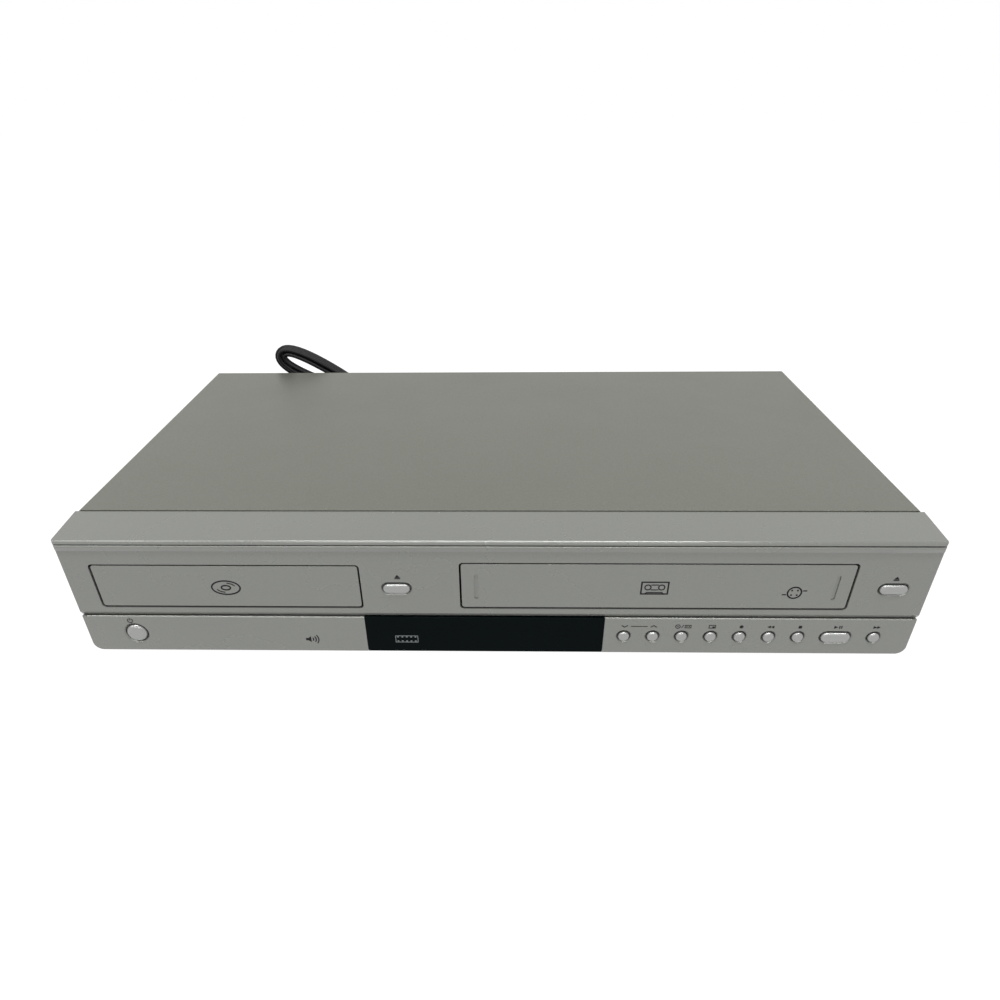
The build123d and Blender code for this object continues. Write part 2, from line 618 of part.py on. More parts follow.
def power_board():
    """The supply board with fuse, mains capacitor, transformer, heat sink and standing capacitors."""
    x0 = SUPPLY_X
    x1 = x0 + SUPPLY_WIDTH
    y1 = REAR_FACE_Y - 5
    y0 = y1 - SUPPLY_DEPTH
    top = BOARD_Z + BOARD
    board = block(x0, x1, y0, y1, BOARD_Z, top)
    board += block(x0 + 31, x0 + 59, y0 + 6, y0 + 32, top - 0.1, top + 26)
    board += block(x0 + 36, x0 + 54, y0 + 2, y0 + 36, top - 0.1, top + 18)
    sink_x = x1 - 14
    board += block(sink_x, sink_x + 3, y0 + 4, y0 + 36, top - 0.1, top + 28)
    for i in range(5):
        fin_y = y0 + 6 + 7 * i
        board += block(sink_x + 2.9, sink_x + 9, fin_y, fin_y + 1.5, top + 2, top + 28)
    board += post(x0 + 15, y0 + 16, top - 0.1, top + 27, 9)
    board += [post(x0 + 5 + 10 * i, y0 + 4.5, top - 0.1, top + 14, 3.6) for i in range(3)]
    board += block(x0 + 3, x0 + 25, y0 + 29, y0 + 35, top - 0.1, top + 7)
    for x, y in ((x0 + 4, y1 - 2), (x1 - 4, y1 - 2), (x1 - 4, y0 + 2.5), (x0 + 27, y0 + 6)):
        board += post(x, y, FLOOR_Z, BOARD_Z + 0.1, 3)
    return board


def front_board():
    """The key board: a strip behind the lower trim with one switch behind each button, and the display."""
    y0 = TRIM_Y + BUTTON_LENGTH + BUTTON_TRAVEL + 2.6
    half = WIDTH / 2 - KEY_BOARD_INSET
    board = block(-half, half, y0, y0 + BOARD, FLOOR_Z + 0.4, TRIM_TOP_Z + 3)
    places = [(x, SMALL_BUTTON_Z) for x in SMALL_BUTTONS.values()]
    places += [(PLAY_X, SMALL_BUTTON_Z), (POWER_X, POWER_Z)]
    for x, z in places:
        board += block(x - 3, x + 3, y0 - 1.6, y0 + 0.1, z - 3, z + 3)
        board += rod_y(x, z, y0 - 2.4, y0 - 1.5, 1.2)
    display_y = TRIM_Y + WINDOW_SHEET + SKIN + 2 * GAP + 0.4
    board += block(WINDOW_LEFT + 12, WINDOW_RIGHT - 12, display_y, y0 + 0.1, 14, 28)
    for x, z in ((OPEN_X, OPEN_Z), (EJECT_X, EJECT_Z)):
        board += block(x - 7, x + 7, y0, y0 + BOARD, TRIM_TOP_Z + 2.9, z + 5)
        board += block(x - 3, x + 3, y0 - 1.6, y0 + 0.1, z - 3, z + 3)
        board += rod_y(x, z, y0 - 2.4, y0 - 1.5, 1.2)
    board += [block(x, x + 3, y0, y0 + 12, FLOOR_Z, FLOOR_Z + 1.5) for x in (-150, -20, 100, 180)]
    board += [block(x, x + 3, y0, y0 + 1.5, FLOOR_Z, FLOOR_Z + 1.5) for x in (-100, 20)]
    return board


# Disc drive
TRAY_X = (TRAY_DOOR_LEFT + TRAY_DOOR_RIGHT) / 2
TRAY_HALF = 64.0
TRAY_BOTTOM_Z = 46.0
TRAY_TOP_Z = 55.0
TRAY_TRAVEL = 135.0
DISC_Y = FACE_Y + 74.7
TRAY_REAR_Y = DISC_Y + 82.0
DISC_RADIUS = 60.0
DISC_WELL = 4.0
SMALL_DISC_RADIUS = 40.0
SMALL_DISC_WELL = 1.2
TRAY_SLOT = 40.0
TRAY_SLOT_REAR_Y = DISC_Y + 62.0
LOADER_FRONT_Y = FACE_Y + 14.7
LOADER_REAR_Y = DISC_Y + 92.0
LOADER_WALL = 2.4
LOADER_FLOOR_Z = FLOOR_Z + 2.0
LOADER_SHEET = 2.0
BRIDGE_Z = 60.0
BRIDGE_SHEET = 1.5
RACK_X = TRAY_X - 56.0
RACK_HALF = 2.0
GEAR_Z = 40.0
GEAR_HEIGHT = 4.6
GEAR_RADIUS = 8.0
GEAR_Y = FACE_Y + 21.2
GEAR_X = RACK_X + RACK_HALF + GAP + GEAR_RADIUS
PINION_RADIUS = 4.0
PINION_ANGLE = 45.0
TRAY_MOTOR_RADIUS = 8.8
PINION_REACH = GEAR_RADIUS + PINION_RADIUS + GAP
PINION_X = GEAR_X + PINION_REACH * math.cos(math.radians(PINION_ANGLE))
PINION_Y = GEAR_Y + PINION_REACH * math.sin(math.radians(PINION_ANGLE))
TRAVERSE_Z = 24.0
TRAVERSE_POST_Y = (DISC_Y - 28.0, DISC_Y + 80.0)
TRAVERSE_SHEET = 2.0
TRAVERSE_LIFT = 10.0
SPINDLE_TOP_Z = 42.5
SLED_Z = 32.5
SLED_FRONT_Y = DISC_Y + 20.0
SLED_LENGTH = 26.0
SLED_TRAVEL = 34.0
ROD_X = 22.0
ROD_RADIUS = 1.5
SCREW_X = 33.0
SLED_SCREW_RADIUS = 2.0
SLED_MOTOR_RADIUS = 4.5
RUNNING = 0.05


def disc_tray():
    """The sliding tray: a well for each disc size, the slot of the pickup, and a rack below."""
    y0 = FACE_Y + DOOR_SETBACK + DOOR_SHEET
    tray = block(TRAY_X - TRAY_HALF, TRAY_X + TRAY_HALF, y0, TRAY_REAR_Y, TRAY_BOTTOM_Z, TRAY_TOP_Z)
    tray -= post(TRAY_X, DISC_Y, TRAY_TOP_Z - DISC_WELL, TRAY_TOP_Z + 1, DISC_RADIUS + 0.8)
    well = TRAY_TOP_Z - DISC_WELL - SMALL_DISC_WELL
    tray -= post(TRAY_X, DISC_Y, well, TRAY_TOP_Z, SMALL_DISC_RADIUS + 0.5)
    half = TRAY_SLOT / 2
    slot = block(TRAY_X - half, TRAY_X + half, DISC_Y, TRAY_SLOT_REAR_Y, TRAY_BOTTOM_Z - 9, TRAY_TOP_Z + 1)
    slot += post(TRAY_X, DISC_Y, TRAY_BOTTOM_Z - 9, TRAY_TOP_Z + 1, half)
    tray -= slot
    under = block(
        TRAY_X - TRAY_HALF + 12, TRAY_X + TRAY_HALF - 4, y0 + 4, TRAY_REAR_Y - 3, TRAY_BOTTOM_Z - 1, TRAY_BOTTOM_Z + 1.6
    )
    tray -= under
    side = 3.0
    for edge in (-1, 1):
        x0, x1 = sorted((TRAY_X + edge * (TRAY_HALF - side), TRAY_X + edge * (TRAY_HALF + 1)))
        tray -= block(x0, x1, y0 + 2, TRAY_REAR_Y + 1, TRAY_TOP_Z - 3, TRAY_TOP_Z + 1)
    tray += block(
        RACK_X - RACK_HALF, RACK_X + RACK_HALF, y0 + 6, TRAY_REAR_Y, GEAR_Z, TRAY_BOTTOM_Z + 0.1
    )
    pitch = 2.0
    teeth = int((TRAY_REAR_Y - y0 - 12) / pitch)
    cuts = [
        block(
            RACK_X + RACK_HALF - 0.8,
            RACK_X + RACK_HALF + 1,
            y0 + 8 + i * pitch,
            y0 + 8 + (i + 0.5) * pitch,
            GEAR_Z - 1,
            TRAY_BOTTOM_Z - 0.6,
        )
        for i in range(teeth)
    ]
    return tray - cuts


def loader_frame():
    """The frame of the disc drive: floor, two walls with rails, and the posts of the traverse."""
    x0 = TRAY_X - TRAY_HALF - GAP - LOADER_WALL
    x1 = TRAY_X + TRAY_HALF + GAP + LOADER_WALL
    floor_top = LOADER_FLOOR_Z + LOADER_SHEET
    frame = block(x0, x1, LOADER_FRONT_Y, LOADER_REAR_Y, LOADER_FLOOR_Z, floor_top)
    frame -= block(TRAY_X - 30, TRAY_X + 30, DISC_Y - 16, DISC_Y + 74, LOADER_FLOOR_Z - 1, floor_top + 1)
    for a, b in ((x0, x0 + LOADER_WALL), (x1 - LOADER_WALL, x1)):
        frame += block(a, b, LOADER_FRONT_Y, LOADER_REAR_Y, LOADER_FLOOR_Z, BRIDGE_Z)
    rail = TRAY_BOTTOM_Z - GAP
    for a, b in ((x0, x0 + LOADER_WALL + 3), (x1 - LOADER_WALL - 3, x1)):
        frame += block(a, b, LOADER_FRONT_Y, LOADER_REAR_Y, rail - 2, rail)
    upper = TRAY_TOP_Z - 3 + GAP
    for a, b in ((x0, x0 + LOADER_WALL + 2.4), (x1 - LOADER_WALL - 2.4, x1)):
        frame += block(a, b, LOADER_FRONT_Y + 4, LOADER_REAR_Y, upper, upper + 1.6)
    frame += block(x0, x1, LOADER_REAR_Y - LOADER_WALL, LOADER_REAR_Y, LOADER_FLOOR_Z, BRIDGE_Z - 8)
    for x in (TRAY_X - 36, TRAY_X + 38):
        for y in TRAVERSE_POST_Y:
            frame += post(x, y, floor_top - 0.1, TRAVERSE_Z - GAP, 3)
            frame += post(x, y, TRAVERSE_Z - GAP - 0.1, TRAVERSE_Z + TRAVERSE_SHEET + TRAVERSE_LIFT + 1, 1.2)
    for x in (x0 + 6, x1 - 6):
        for y in (LOADER_FRONT_Y + 8, LOADER_REAR_Y - 8):
            frame += post(x, y, FLOOR_Z, LOADER_FLOOR_Z + 0.1, 4)
    frame += post(GEAR_X, GEAR_Y, floor_top - 0.1, GEAR_Z - GAP, 3)
    frame += post(GEAR_X, GEAR_Y, GEAR_Z - GAP - 0.1, GEAR_Z + GEAR_HEIGHT, 1.2)
    return frame


def clamp_bridge():
    """The steel bridge over the tray, with the hole that holds the clamper."""
    x0 = TRAY_X - TRAY_HALF - GAP - LOADER_WALL
    x1 = TRAY_X + TRAY_HALF + GAP + LOADER_WALL
    bridge = block(x0, x1, DISC_Y - 22, DISC_Y + 22, BRIDGE_Z, BRIDGE_Z + BRIDGE_SHEET)
    for x in (TRAY_X - 40, TRAY_X + 40):
        bridge -= post(x, DISC_Y, BRIDGE_Z - 1, BRIDGE_Z + 3, 9)
    return bridge - post(TRAY_X, DISC_Y, BRIDGE_Z - 1, BRIDGE_Z + 3, 9.5)


def clamper():
    """The round clamper that hangs in the bridge by its rim."""
    top = BRIDGE_Z + BRIDGE_SHEET + GAP
    body = post(TRAY_X, DISC_Y, TRAY_TOP_Z + 1.2, BRIDGE_Z - 1.4, 15)
    body += post(TRAY_X, DISC_Y, BRIDGE_Z - 2, top + 0.1, 8.5)
    body += post(TRAY_X, DISC_Y, top, top + 1.4, 12)
    return body - post(TRAY_X, DISC_Y, top - 1.5, top + 3, 6)


def tray_gear():
    """The gear that drives the rack of the tray."""
    gear = toothed(GEAR_X, GEAR_Y, GEAR_Z, GEAR_Z + GEAR_HEIGHT, GEAR_RADIUS, 24, 0.7)
    return gear - post(GEAR_X, GEAR_Y, GEAR_Z - 1, GEAR_Z + GEAR_HEIGHT + 1, 1.2 + RUNNING)


def tray_pinion():
    """The pinion on the shaft of the tray motor."""
    gear = toothed(PINION_X, PINION_Y, GEAR_Z, GEAR_Z + GEAR_HEIGHT, PINION_RADIUS, 12, 0.7)
    return gear - post(PINION_X, PINION_Y, GEAR_Z - 1, GEAR_Z + GEAR_HEIGHT + 1, 1.0 + RUNNING)


def tray_motor():
    """The upright motor that moves the tray."""
    floor_top = LOADER_FLOOR_Z + LOADER_SHEET
    motor = post(PINION_X, PINION_Y, floor_top, GEAR_Z - 5, TRAY_MOTOR_RADIUS)
    motor = chamfer(motor.edges().group_by(Axis.Z)[-1], 1.0)
    motor += post(PINION_X, PINION_Y, GEAR_Z - 5.1, GEAR_Z - GAP, 3)
    return motor + post(PINION_X, PINION_Y, GEAR_Z - GAP - 0.1, GEAR_Z + GEAR_HEIGHT, 1.0)


def traverse_frame():
    """The lifting plate that carries the spindle motor, the rods, the sled and its motor."""
    top = TRAVERSE_Z + TRAVERSE_SHEET
    plate = block(TRAY_X - 42, TRAY_X + 44, DISC_Y - 33, DISC_Y + 86, TRAVERSE_Z, top)
    plate -= block(TRAY_X - 14, TRAY_X + 14, SLED_FRONT_Y + 6, DISC_Y + 78, TRAVERSE_Z - 1, top + 1)
    for x in (TRAY_X - 36, TRAY_X + 38):
        for y in TRAVERSE_POST_Y:
            plate -= post(x, y, TRAVERSE_Z - 1, top + 1, 1.2 + RUNNING)
    for y0, y1 in ((SLED_FRONT_Y - 6, SLED_FRONT_Y - 3), (SLED_FRONT_Y + 63, SLED_FRONT_Y + 66)):
        for x in (-ROD_X, ROD_X):
            plate += block(TRAY_X + x - 3, TRAY_X + x + 3, y0, y1, top - 0.1, SLED_Z + 3)
    y1 = SLED_FRONT_Y + 66
    plate += block(TRAY_X + SCREW_X - 3, TRAY_X + SCREW_X + 3, y1 - 3, y1, top - 0.1, SLED_Z + 3)
    return plate


def spindle_motor():
    """The motor that turns the disc, with its shaft."""
    top = TRAVERSE_Z + TRAVERSE_SHEET
    motor = post(TRAY_X, DISC_Y, top, top + 8, 12)
    motor += post(TRAY_X, DISC_Y, top + 7.9, top + 9, 4)
    return motor + post(TRAY_X, DISC_Y, top + 8.9, SPINDLE_TOP_Z + 1.0, 1.2)


def turntable():
    """The turntable on the spindle, with the boss that centres a disc."""
    base = TRAVERSE_Z + TRAVERSE_SHEET + 9 + GAP
    table = post(TRAY_X, DISC_Y, base, SPINDLE_TOP_Z - 1.8, 6)
    table += post(TRAY_X, DISC_Y, SPINDLE_TOP_Z - 2, SPINDLE_TOP_Z, 15)
    boss = post(TRAY_X, DISC_Y, SPINDLE_TOP_Z - 0.1, SPINDLE_TOP_Z + 2.8, 7.3)
    table += chamfer(boss.edges().group_by(Axis.Z)[-1], 1.2)
    return table - post(TRAY_X, DISC_Y, base - 1, SPINDLE_TOP_Z + 1.2, 1.2 + RUNNING)


def sled():
    """The pickup sled on its two rods, with the lens on top."""
    y0 = SLED_FRONT_Y
    y1 = y0 + SLED_LENGTH
    body = block(TRAY_X - ROD_X - 4, TRAY_X + ROD_X + 4, y0, y1, SLED_Z - 3.5, SLED_Z + 3.5)
    body += block(TRAY_X - 12, TRAY_X + 12, y0 + 2, y1 - 4, SLED_Z + 3.4, SLED_Z + 7)
    body += post(TRAY_X, y0 + 8, SLED_Z + 6.9, SLED_Z + 9.5, 4)
    x1 = TRAY_X + SCREW_X - SLED_SCREW_RADIUS - GAP
    body += block(TRAY_X + ROD_X + 3, x1, y0 + 8, y1 - 8, SLED_Z - 2, SLED_Z + 2)
    for x in (-ROD_X, ROD_X):
        body -= rod_y(TRAY_X + x, SLED_Z, y0 - 1, y1 + 1, ROD_RADIUS + RUNNING)
    return body


def sled_rods():
    """The two steel rods that guide the sled."""
    y0 = SLED_FRONT_Y - 3
    y1 = SLED_FRONT_Y + 63
    return Compound(children=[rod_y(TRAY_X + x, SLED_Z, y0, y1, ROD_RADIUS) for x in (-ROD_X, ROD_X)])


def sled_screw():
    """The lead screw beside the sled, as rings on a shaft."""
    y0 = SLED_FRONT_Y - 3 + GAP
    y1 = SLED_FRONT_Y + 63 - GAP
    x = TRAY_X + SCREW_X
    screw = rod_y(x, SLED_Z, y0, y1, SLED_SCREW_RADIUS - 0.4)
    count = int((y1 - y0 - 6) / 3)
    screw += [rod_y(x, SLED_Z, y0 + 4 + 3 * i, y0 + 5.5 + 3 * i, SLED_SCREW_RADIUS) for i in range(count)]
    return screw


def sled_motor():
    """The motor that turns the lead screw, in its saddle."""
    x = TRAY_X + SCREW_X
    y1 = SLED_FRONT_Y - 3
    motor = rod_y(x, SLED_Z, y1 - 16, y1, SLED_MOTOR_RADIUS)
    return motor + block(x - 4, x + 4, y1 - 16, y1, TRAVERSE_Z + TRAVERSE_SHEET, SLED_Z)


# Cassette deck
DECK_X = (CASSETTE_DOOR_LEFT + CASSETTE_DOOR_RIGHT) / 2
DECK_HALF = 98.8
DECK_Z = 20.0
DECK_SHEET = 1.5
DECK_TOP_Z = DECK_Z + DECK_SHEET
DECK_FRONT_Y = FACE_Y + 36.7
DECK_REAR_Y = REAR_FACE_Y - 4.7
HOLDER_HALF = 95.5
HOLDER_SHEET = 1.2
HOLDER_FRONT_Y = FACE_Y + 34.7
HOLDER_DEPTH = 56.0
HOLDER_HEIGHT = 28.7
HOLDER_TOP_Z = CASSETTE_DOOR_TOP + 1.2
HOLDER_BOTTOM_Z = HOLDER_TOP_Z - HOLDER_HEIGHT
HOLDER_LIP = 12.0
HOLDER_TRAVEL = 64.0
HOLDER_DROP = 14.0
SLIDER_SHEET = 1.5
DRUM_Y = DECK_REAR_Y - 34.0
DRUM_RADIUS = 31.0
DRUM_SPLIT_Z = 38.0
DRUM_TOP_Z = 52.0
REEL_X = 46.0
REEL_Y = -16.0
REEL_RADIUS = 17.0
CAPSTAN_X = 44.0
CAPSTAN_Y = 46.0
CAPSTAN_RADIUS = 2.0
FLYWHEEL_RADIUS = 16.0
PINCH_PIVOT_X = 64.0
PINCH_PIVOT_Y = 58.0
PINCH_ARM = 14.5
PINCH_REST = -104.0
PINCH_RADIUS = 7.0
POST_RADIUS = 1.9
POST_PATH = 34.4
POST_REST = 13.5
PINCH_X = DECK_X + PINCH_PIVOT_X + PINCH_ARM * math.cos(math.radians(PINCH_REST))
PINCH_Y = PINCH_PIVOT_Y + PINCH_ARM * math.sin(math.radians(PINCH_REST))


def deck_plate():
    """The base plate of the cassette deck: posts, guide pins, audio head and two side guides."""
    x0, x1 = DECK_X - DECK_HALF, DECK_X + DECK_HALF
    plate = block(x0, x1, DECK_FRONT_Y, DECK_REAR_Y, DECK_Z, DECK_TOP_Z)
    plate -= post(DECK_X + CAPSTAN_X, CAPSTAN_Y, DECK_Z - 1, DECK_TOP_Z + 1, CAPSTAN_RADIUS + RUNNING)
    for x in (x0 + 8, DECK_X, x1 - 8):
        for y in (DECK_FRONT_Y + 8, DECK_REAR_Y - 6):
            plate += post(x, y, FLOOR_Z, DECK_Z + 0.1, 4)
    for x in (-REEL_X, REEL_X):
        plate += post(DECK_X + x, REEL_Y, DECK_TOP_Z - 0.1, DECK_TOP_Z + 16, 1.5)
    plate += post(DECK_X + PINCH_PIVOT_X, PINCH_PIVOT_Y, DECK_TOP_Z - 0.1, 32, 1.5)
    for x, y in ((-40.0, 46.0), (-56.0, 42.0), (84.0, 44.0)):
        plate += post(DECK_X + x, y, DECK_TOP_Z - 0.1, 50, 1.6)
        plate += post(DECK_X + x, y, DECK_TOP_Z - 0.1, 30, 3.2)
        plate += post(DECK_X + x, y, 45, 50, 3.0)
    head = block(DECK_X + 28, DECK_X + 35, 40, 46, DECK_TOP_Z - 0.1, 48)
    plate += fillet(head.edges().filter_by(Axis.Z), 1.5)
    inner = HOLDER_HALF + SLIDER_SHEET + 2 * GAP
    for side in (-1, 1):
        x0, x1 = sorted((DECK_X + side * inner, DECK_X + side * DECK_HALF))
        guide = block(x0, x1, DECK_FRONT_Y, DRUM_Y - 32, DECK_TOP_Z - 0.1, HOLDER_TOP_Z + 6)
        plate += guide - block(x0 - 1, x1 + 1, DECK_FRONT_Y + 22, DRUM_Y - 52, 30, 38)
    return plate


def drum_base():
    """The still lower half of the head drum, on its seat."""
    base = post(DECK_X, DRUM_Y, DECK_TOP_Z, DRUM_SPLIT_Z, DRUM_RADIUS)
    base -= ring(DECK_X, DRUM_Y, DRUM_SPLIT_Z - 10.0, DRUM_SPLIT_Z - 9.0, DRUM_RADIUS + 1, DRUM_RADIUS - 0.3)
    return base + post(DECK_X, DRUM_Y, DRUM_SPLIT_Z - 0.1, DRUM_TOP_Z + 4, 3)


def head_drum():
    """The spinning upper half of the head drum."""
    low = DRUM_SPLIT_Z + GAP
    drum = post(DECK_X, DRUM_Y, low, DRUM_TOP_Z, DRUM_RADIUS)
    drum -= ring(DECK_X, DRUM_Y, DRUM_TOP_Z - 3, DRUM_TOP_Z + 1, DRUM_RADIUS - 5, 12)
    for i in range(4):
        window = Rot(0, 0, 45 + 90 * i) * Pos(DRUM_RADIUS, 0, 0) * Box(3, 4, 2)
        drum -= Pos(DECK_X, DRUM_Y, low) * window
    return drum - post(DECK_X, DRUM_Y, low - 1, DRUM_TOP_Z + 1, 3 + RUNNING)


def capstan():
    """The capstan shaft with its flywheel below the deck plate."""
    x = DECK_X + CAPSTAN_X
    wheel = post(x, CAPSTAN_Y, FLOOR_Z + 1.5, DECK_Z - 1.5, FLYWHEEL_RADIUS)
    wheel += post(x, CAPSTAN_Y, DECK_Z - 1.6, DECK_Z - GAP, 5)
    return wheel + post(x, CAPSTAN_Y, DECK_Z - GAP - 0.1, 52, CAPSTAN_RADIUS)


def pinch_roller():
    """The rubber roller that presses the tape on the capstan."""
    return ring(PINCH_X, PINCH_Y, 30, 46, PINCH_RADIUS, 1.2 + RUNNING)


def pinch_arm():
    """The swinging arm of the pinch roller."""
    pivot_x = DECK_X + PINCH_PIVOT_X
    low = DECK_TOP_Z + GAP
    arm = post(pivot_x, PINCH_PIVOT_Y, low, 29, 3.6)
    middle = Pos((pivot_x + PINCH_X) / 2, (PINCH_PIVOT_Y + PINCH_Y) / 2, 26)
    arm += middle * Rot(0, 0, PINCH_REST) * Box(PINCH_ARM, 5, 3)
    arm += post(PINCH_X, PINCH_Y, 24.5, 29.7, 3.5)
    arm += post(PINCH_X, PINCH_Y, 29.6, 47, 1.2)
    return arm - post(pivot_x, PINCH_PIVOT_Y, low - 1, 33, 1.5 + RUNNING)


def reel(side):
    """A reel table with the splined spindle that drives the cassette's hub."""
    x = DECK_X + side * REEL_X
    low = DECK_TOP_Z + GAP
    table = post(x, REEL_Y, low, low + 3, REEL_RADIUS)
    table += post(x, REEL_Y, low + 2.9, low + 13, 4.2)
    for i in range(3):
        spline = Rot(0, 0, 120 * i) * Pos(4.4, 0, 0) * Box(2.4, 1.6, 8)
        table += Pos(x, REEL_Y, low + 8) * spline
    return table - post(x, REEL_Y, low - 1, low + 17, 1.5 + RUNNING)


def loading_post(side):
    """A guide post that draws the tape round the drum, on its small base."""
    angle = math.radians(-90 + side * POST_REST)
    x = DECK_X + POST_PATH * math.cos(angle)
    y = DRUM_Y + POST_PATH * math.sin(angle)
    body = post(x, y, DECK_TOP_Z + GAP, 26, 3.0)
    return body + post(x, y, 25.9, 50, POST_RADIUS)


def loading_motor():
    """The motor of the tape loading, on its bracket."""
    x = DECK_X - 70
    y1 = DECK_REAR_Y - 16
    motor = rod_y(x, 34, y1 - 32, y1, 9)
    motor += rod_y(x, 34, y1 - 40, y1 - 31.9, 2.5)
    return motor + block(x - 7, x + 7, y1 - 28, y1 - 4, DECK_TOP_Z, 34)


def cassette_holder():
    """The open-bottomed basket that carries the cassette."""
    x0, x1 = DECK_X - HOLDER_HALF, DECK_X + HOLDER_HALF
    y0 = HOLDER_FRONT_Y
    y1 = y0 + HOLDER_DEPTH
    basket = block(x0, x1, y0, y1, HOLDER_TOP_Z - HOLDER_SHEET, HOLDER_TOP_Z)
    basket -= block(DECK_X - 60, DECK_X + 60, y0 + 14, y1 - 14, HOLDER_TOP_Z - 3, HOLDER_TOP_Z + 1)
    for a, b in ((x0, x0 + HOLDER_SHEET), (x1 - HOLDER_SHEET, x1)):
        basket += block(a, b, y0, y1, HOLDER_BOTTOM_Z, HOLDER_TOP_Z)
    for a, b in ((x0, x0 + HOLDER_LIP), (x1 - HOLDER_LIP, x1)):
        basket += block(a, b, y0, y1, HOLDER_BOTTOM_Z, HOLDER_BOTTOM_Z + HOLDER_SHEET)
    return basket + block(x0, x1, y1 - HOLDER_SHEET, y1, HOLDER_BOTTOM_Z + 7, HOLDER_TOP_Z)


def holder_sliders():
    """The two side sliders of the basket, joined by a cross rod above it."""
    inner = HOLDER_HALF + GAP
    outer = inner + SLIDER_SHEET
    y0 = HOLDER_FRONT_Y + 4
    y1 = y0 + 48
    middle = (y0 + y1) / 2
    body = rod_x(middle, HOLDER_TOP_Z + 3.5, DECK_X - outer, DECK_X + outer, 1.5)
    for side in (-1, 1):
        x0, x1 = sorted((DECK_X + side * inner, DECK_X + side * outer))
        body += block(x0, x1, y0, y1, HOLDER_BOTTOM_Z + 5, HOLDER_BOTTOM_Z + 22)
        body += block(x0, x1, middle - 5, middle + 5, HOLDER_BOTTOM_Z + 21, HOLDER_TOP_Z + 5)
    return body


# Power cord: a flat two-core lead, put away as a tied hank that leans on the back of the player
CORD_WIDTH = 5.6
CORD_THICK = 3.0
FOLD_HALF = 6.1
NEST_PITCH = 3.8
TAIL_PITCH = 4.8
LAYER_PITCH = 6.2
DRAWN_IN = 4.2
WAIST_BEND = 60.0
CORNER_SHARE = 0.93
EASY_SHARE = 0.45
HANK_NEAR_Y = DEPTH / 2 + CORD_WIDTH / 2 + 1.0
HANK_FAR_Y = HANK_NEAR_Y + LAYER_PITCH
HANK_TOP_X = -158.2
HANK_TOP_Z = 88.5
HANK_HALF = 56.0
HANK_UPPER_SLOPE = 28.0
HANK_LOWER_SLOPE = 52.0
FLOOR_CORD_Z = CORD_THICK / 2 + 0.3
LANDING_RUN = 14.5
LANDING_END = 12.0
TAIL_LENGTH = 18.0
RELIEF_END_Y = 139.0
RELIEF_END_RADIUS = 3.6
PLUG_X = 12.0
PLUG_Y = 150.0
PLUG_Z = 7.8
PLUG_NOSE = 12.0
PLUG_LENGTH = 26.0
PLUG_WIDTH = 22.0
PLUG_THICK = 14.6
BLADE_GAP = 12.7
BLADE_LENGTH = 17.0
BLADE_WIDTH = 6.3
BLADE_THICK = 1.5


def heading(slope):
    """The direction that falls to the right at a slope in degrees, as (x, z)."""
    return math.cos(math.radians(slope)), -math.sin(math.radians(slope))


def shifted(point, way, ahead, across):
    """A point moved along a direction, and across it, to the upper right if positive."""
    return (
        point[0] + way[0] * ahead - way[1] * across,
        point[1] + way[1] * ahead + way[0] * across,
    )


UPPER_WAY = heading(HANK_UPPER_SLOPE)
WAIST_WAY = heading((HANK_UPPER_SLOPE + HANK_LOWER_SLOPE) / 2)
LOWER_WAY = heading(HANK_LOWER_SLOPE)
HANK_TOP = (HANK_TOP_X, HANK_TOP_Z)
HANK_WAIST = shifted(HANK_TOP, UPPER_WAY, HANK_HALF, 0)
HANK_BOTTOM = shifted(HANK_WAIST, LOWER_WAY, HANK_HALF, 0)


def landing(waist_point, low_point):
    """Where a run meets the floor: its corner above the floor, the floor corner, and its slope."""
    run = math.hypot(low_point[0] - waist_point[0], low_point[1] - waist_point[1])
    way = ((low_point[0] - waist_point[0]) / run, (low_point[1] - waist_point[1]) / run)
    half_turn = math.asin(-way[1]) / 2
    corner_z = FLOOR_CORD_Z + LANDING_RUN * math.sin(half_turn)
    reach = (low_point[1] - corner_z) / -way[1]
    corner = (low_point[0] + way[0] * reach, corner_z)
    floor = (corner[0] + LANDING_RUN * math.cos(half_turn), FLOOR_CORD_Z)
    return corner, floor, way


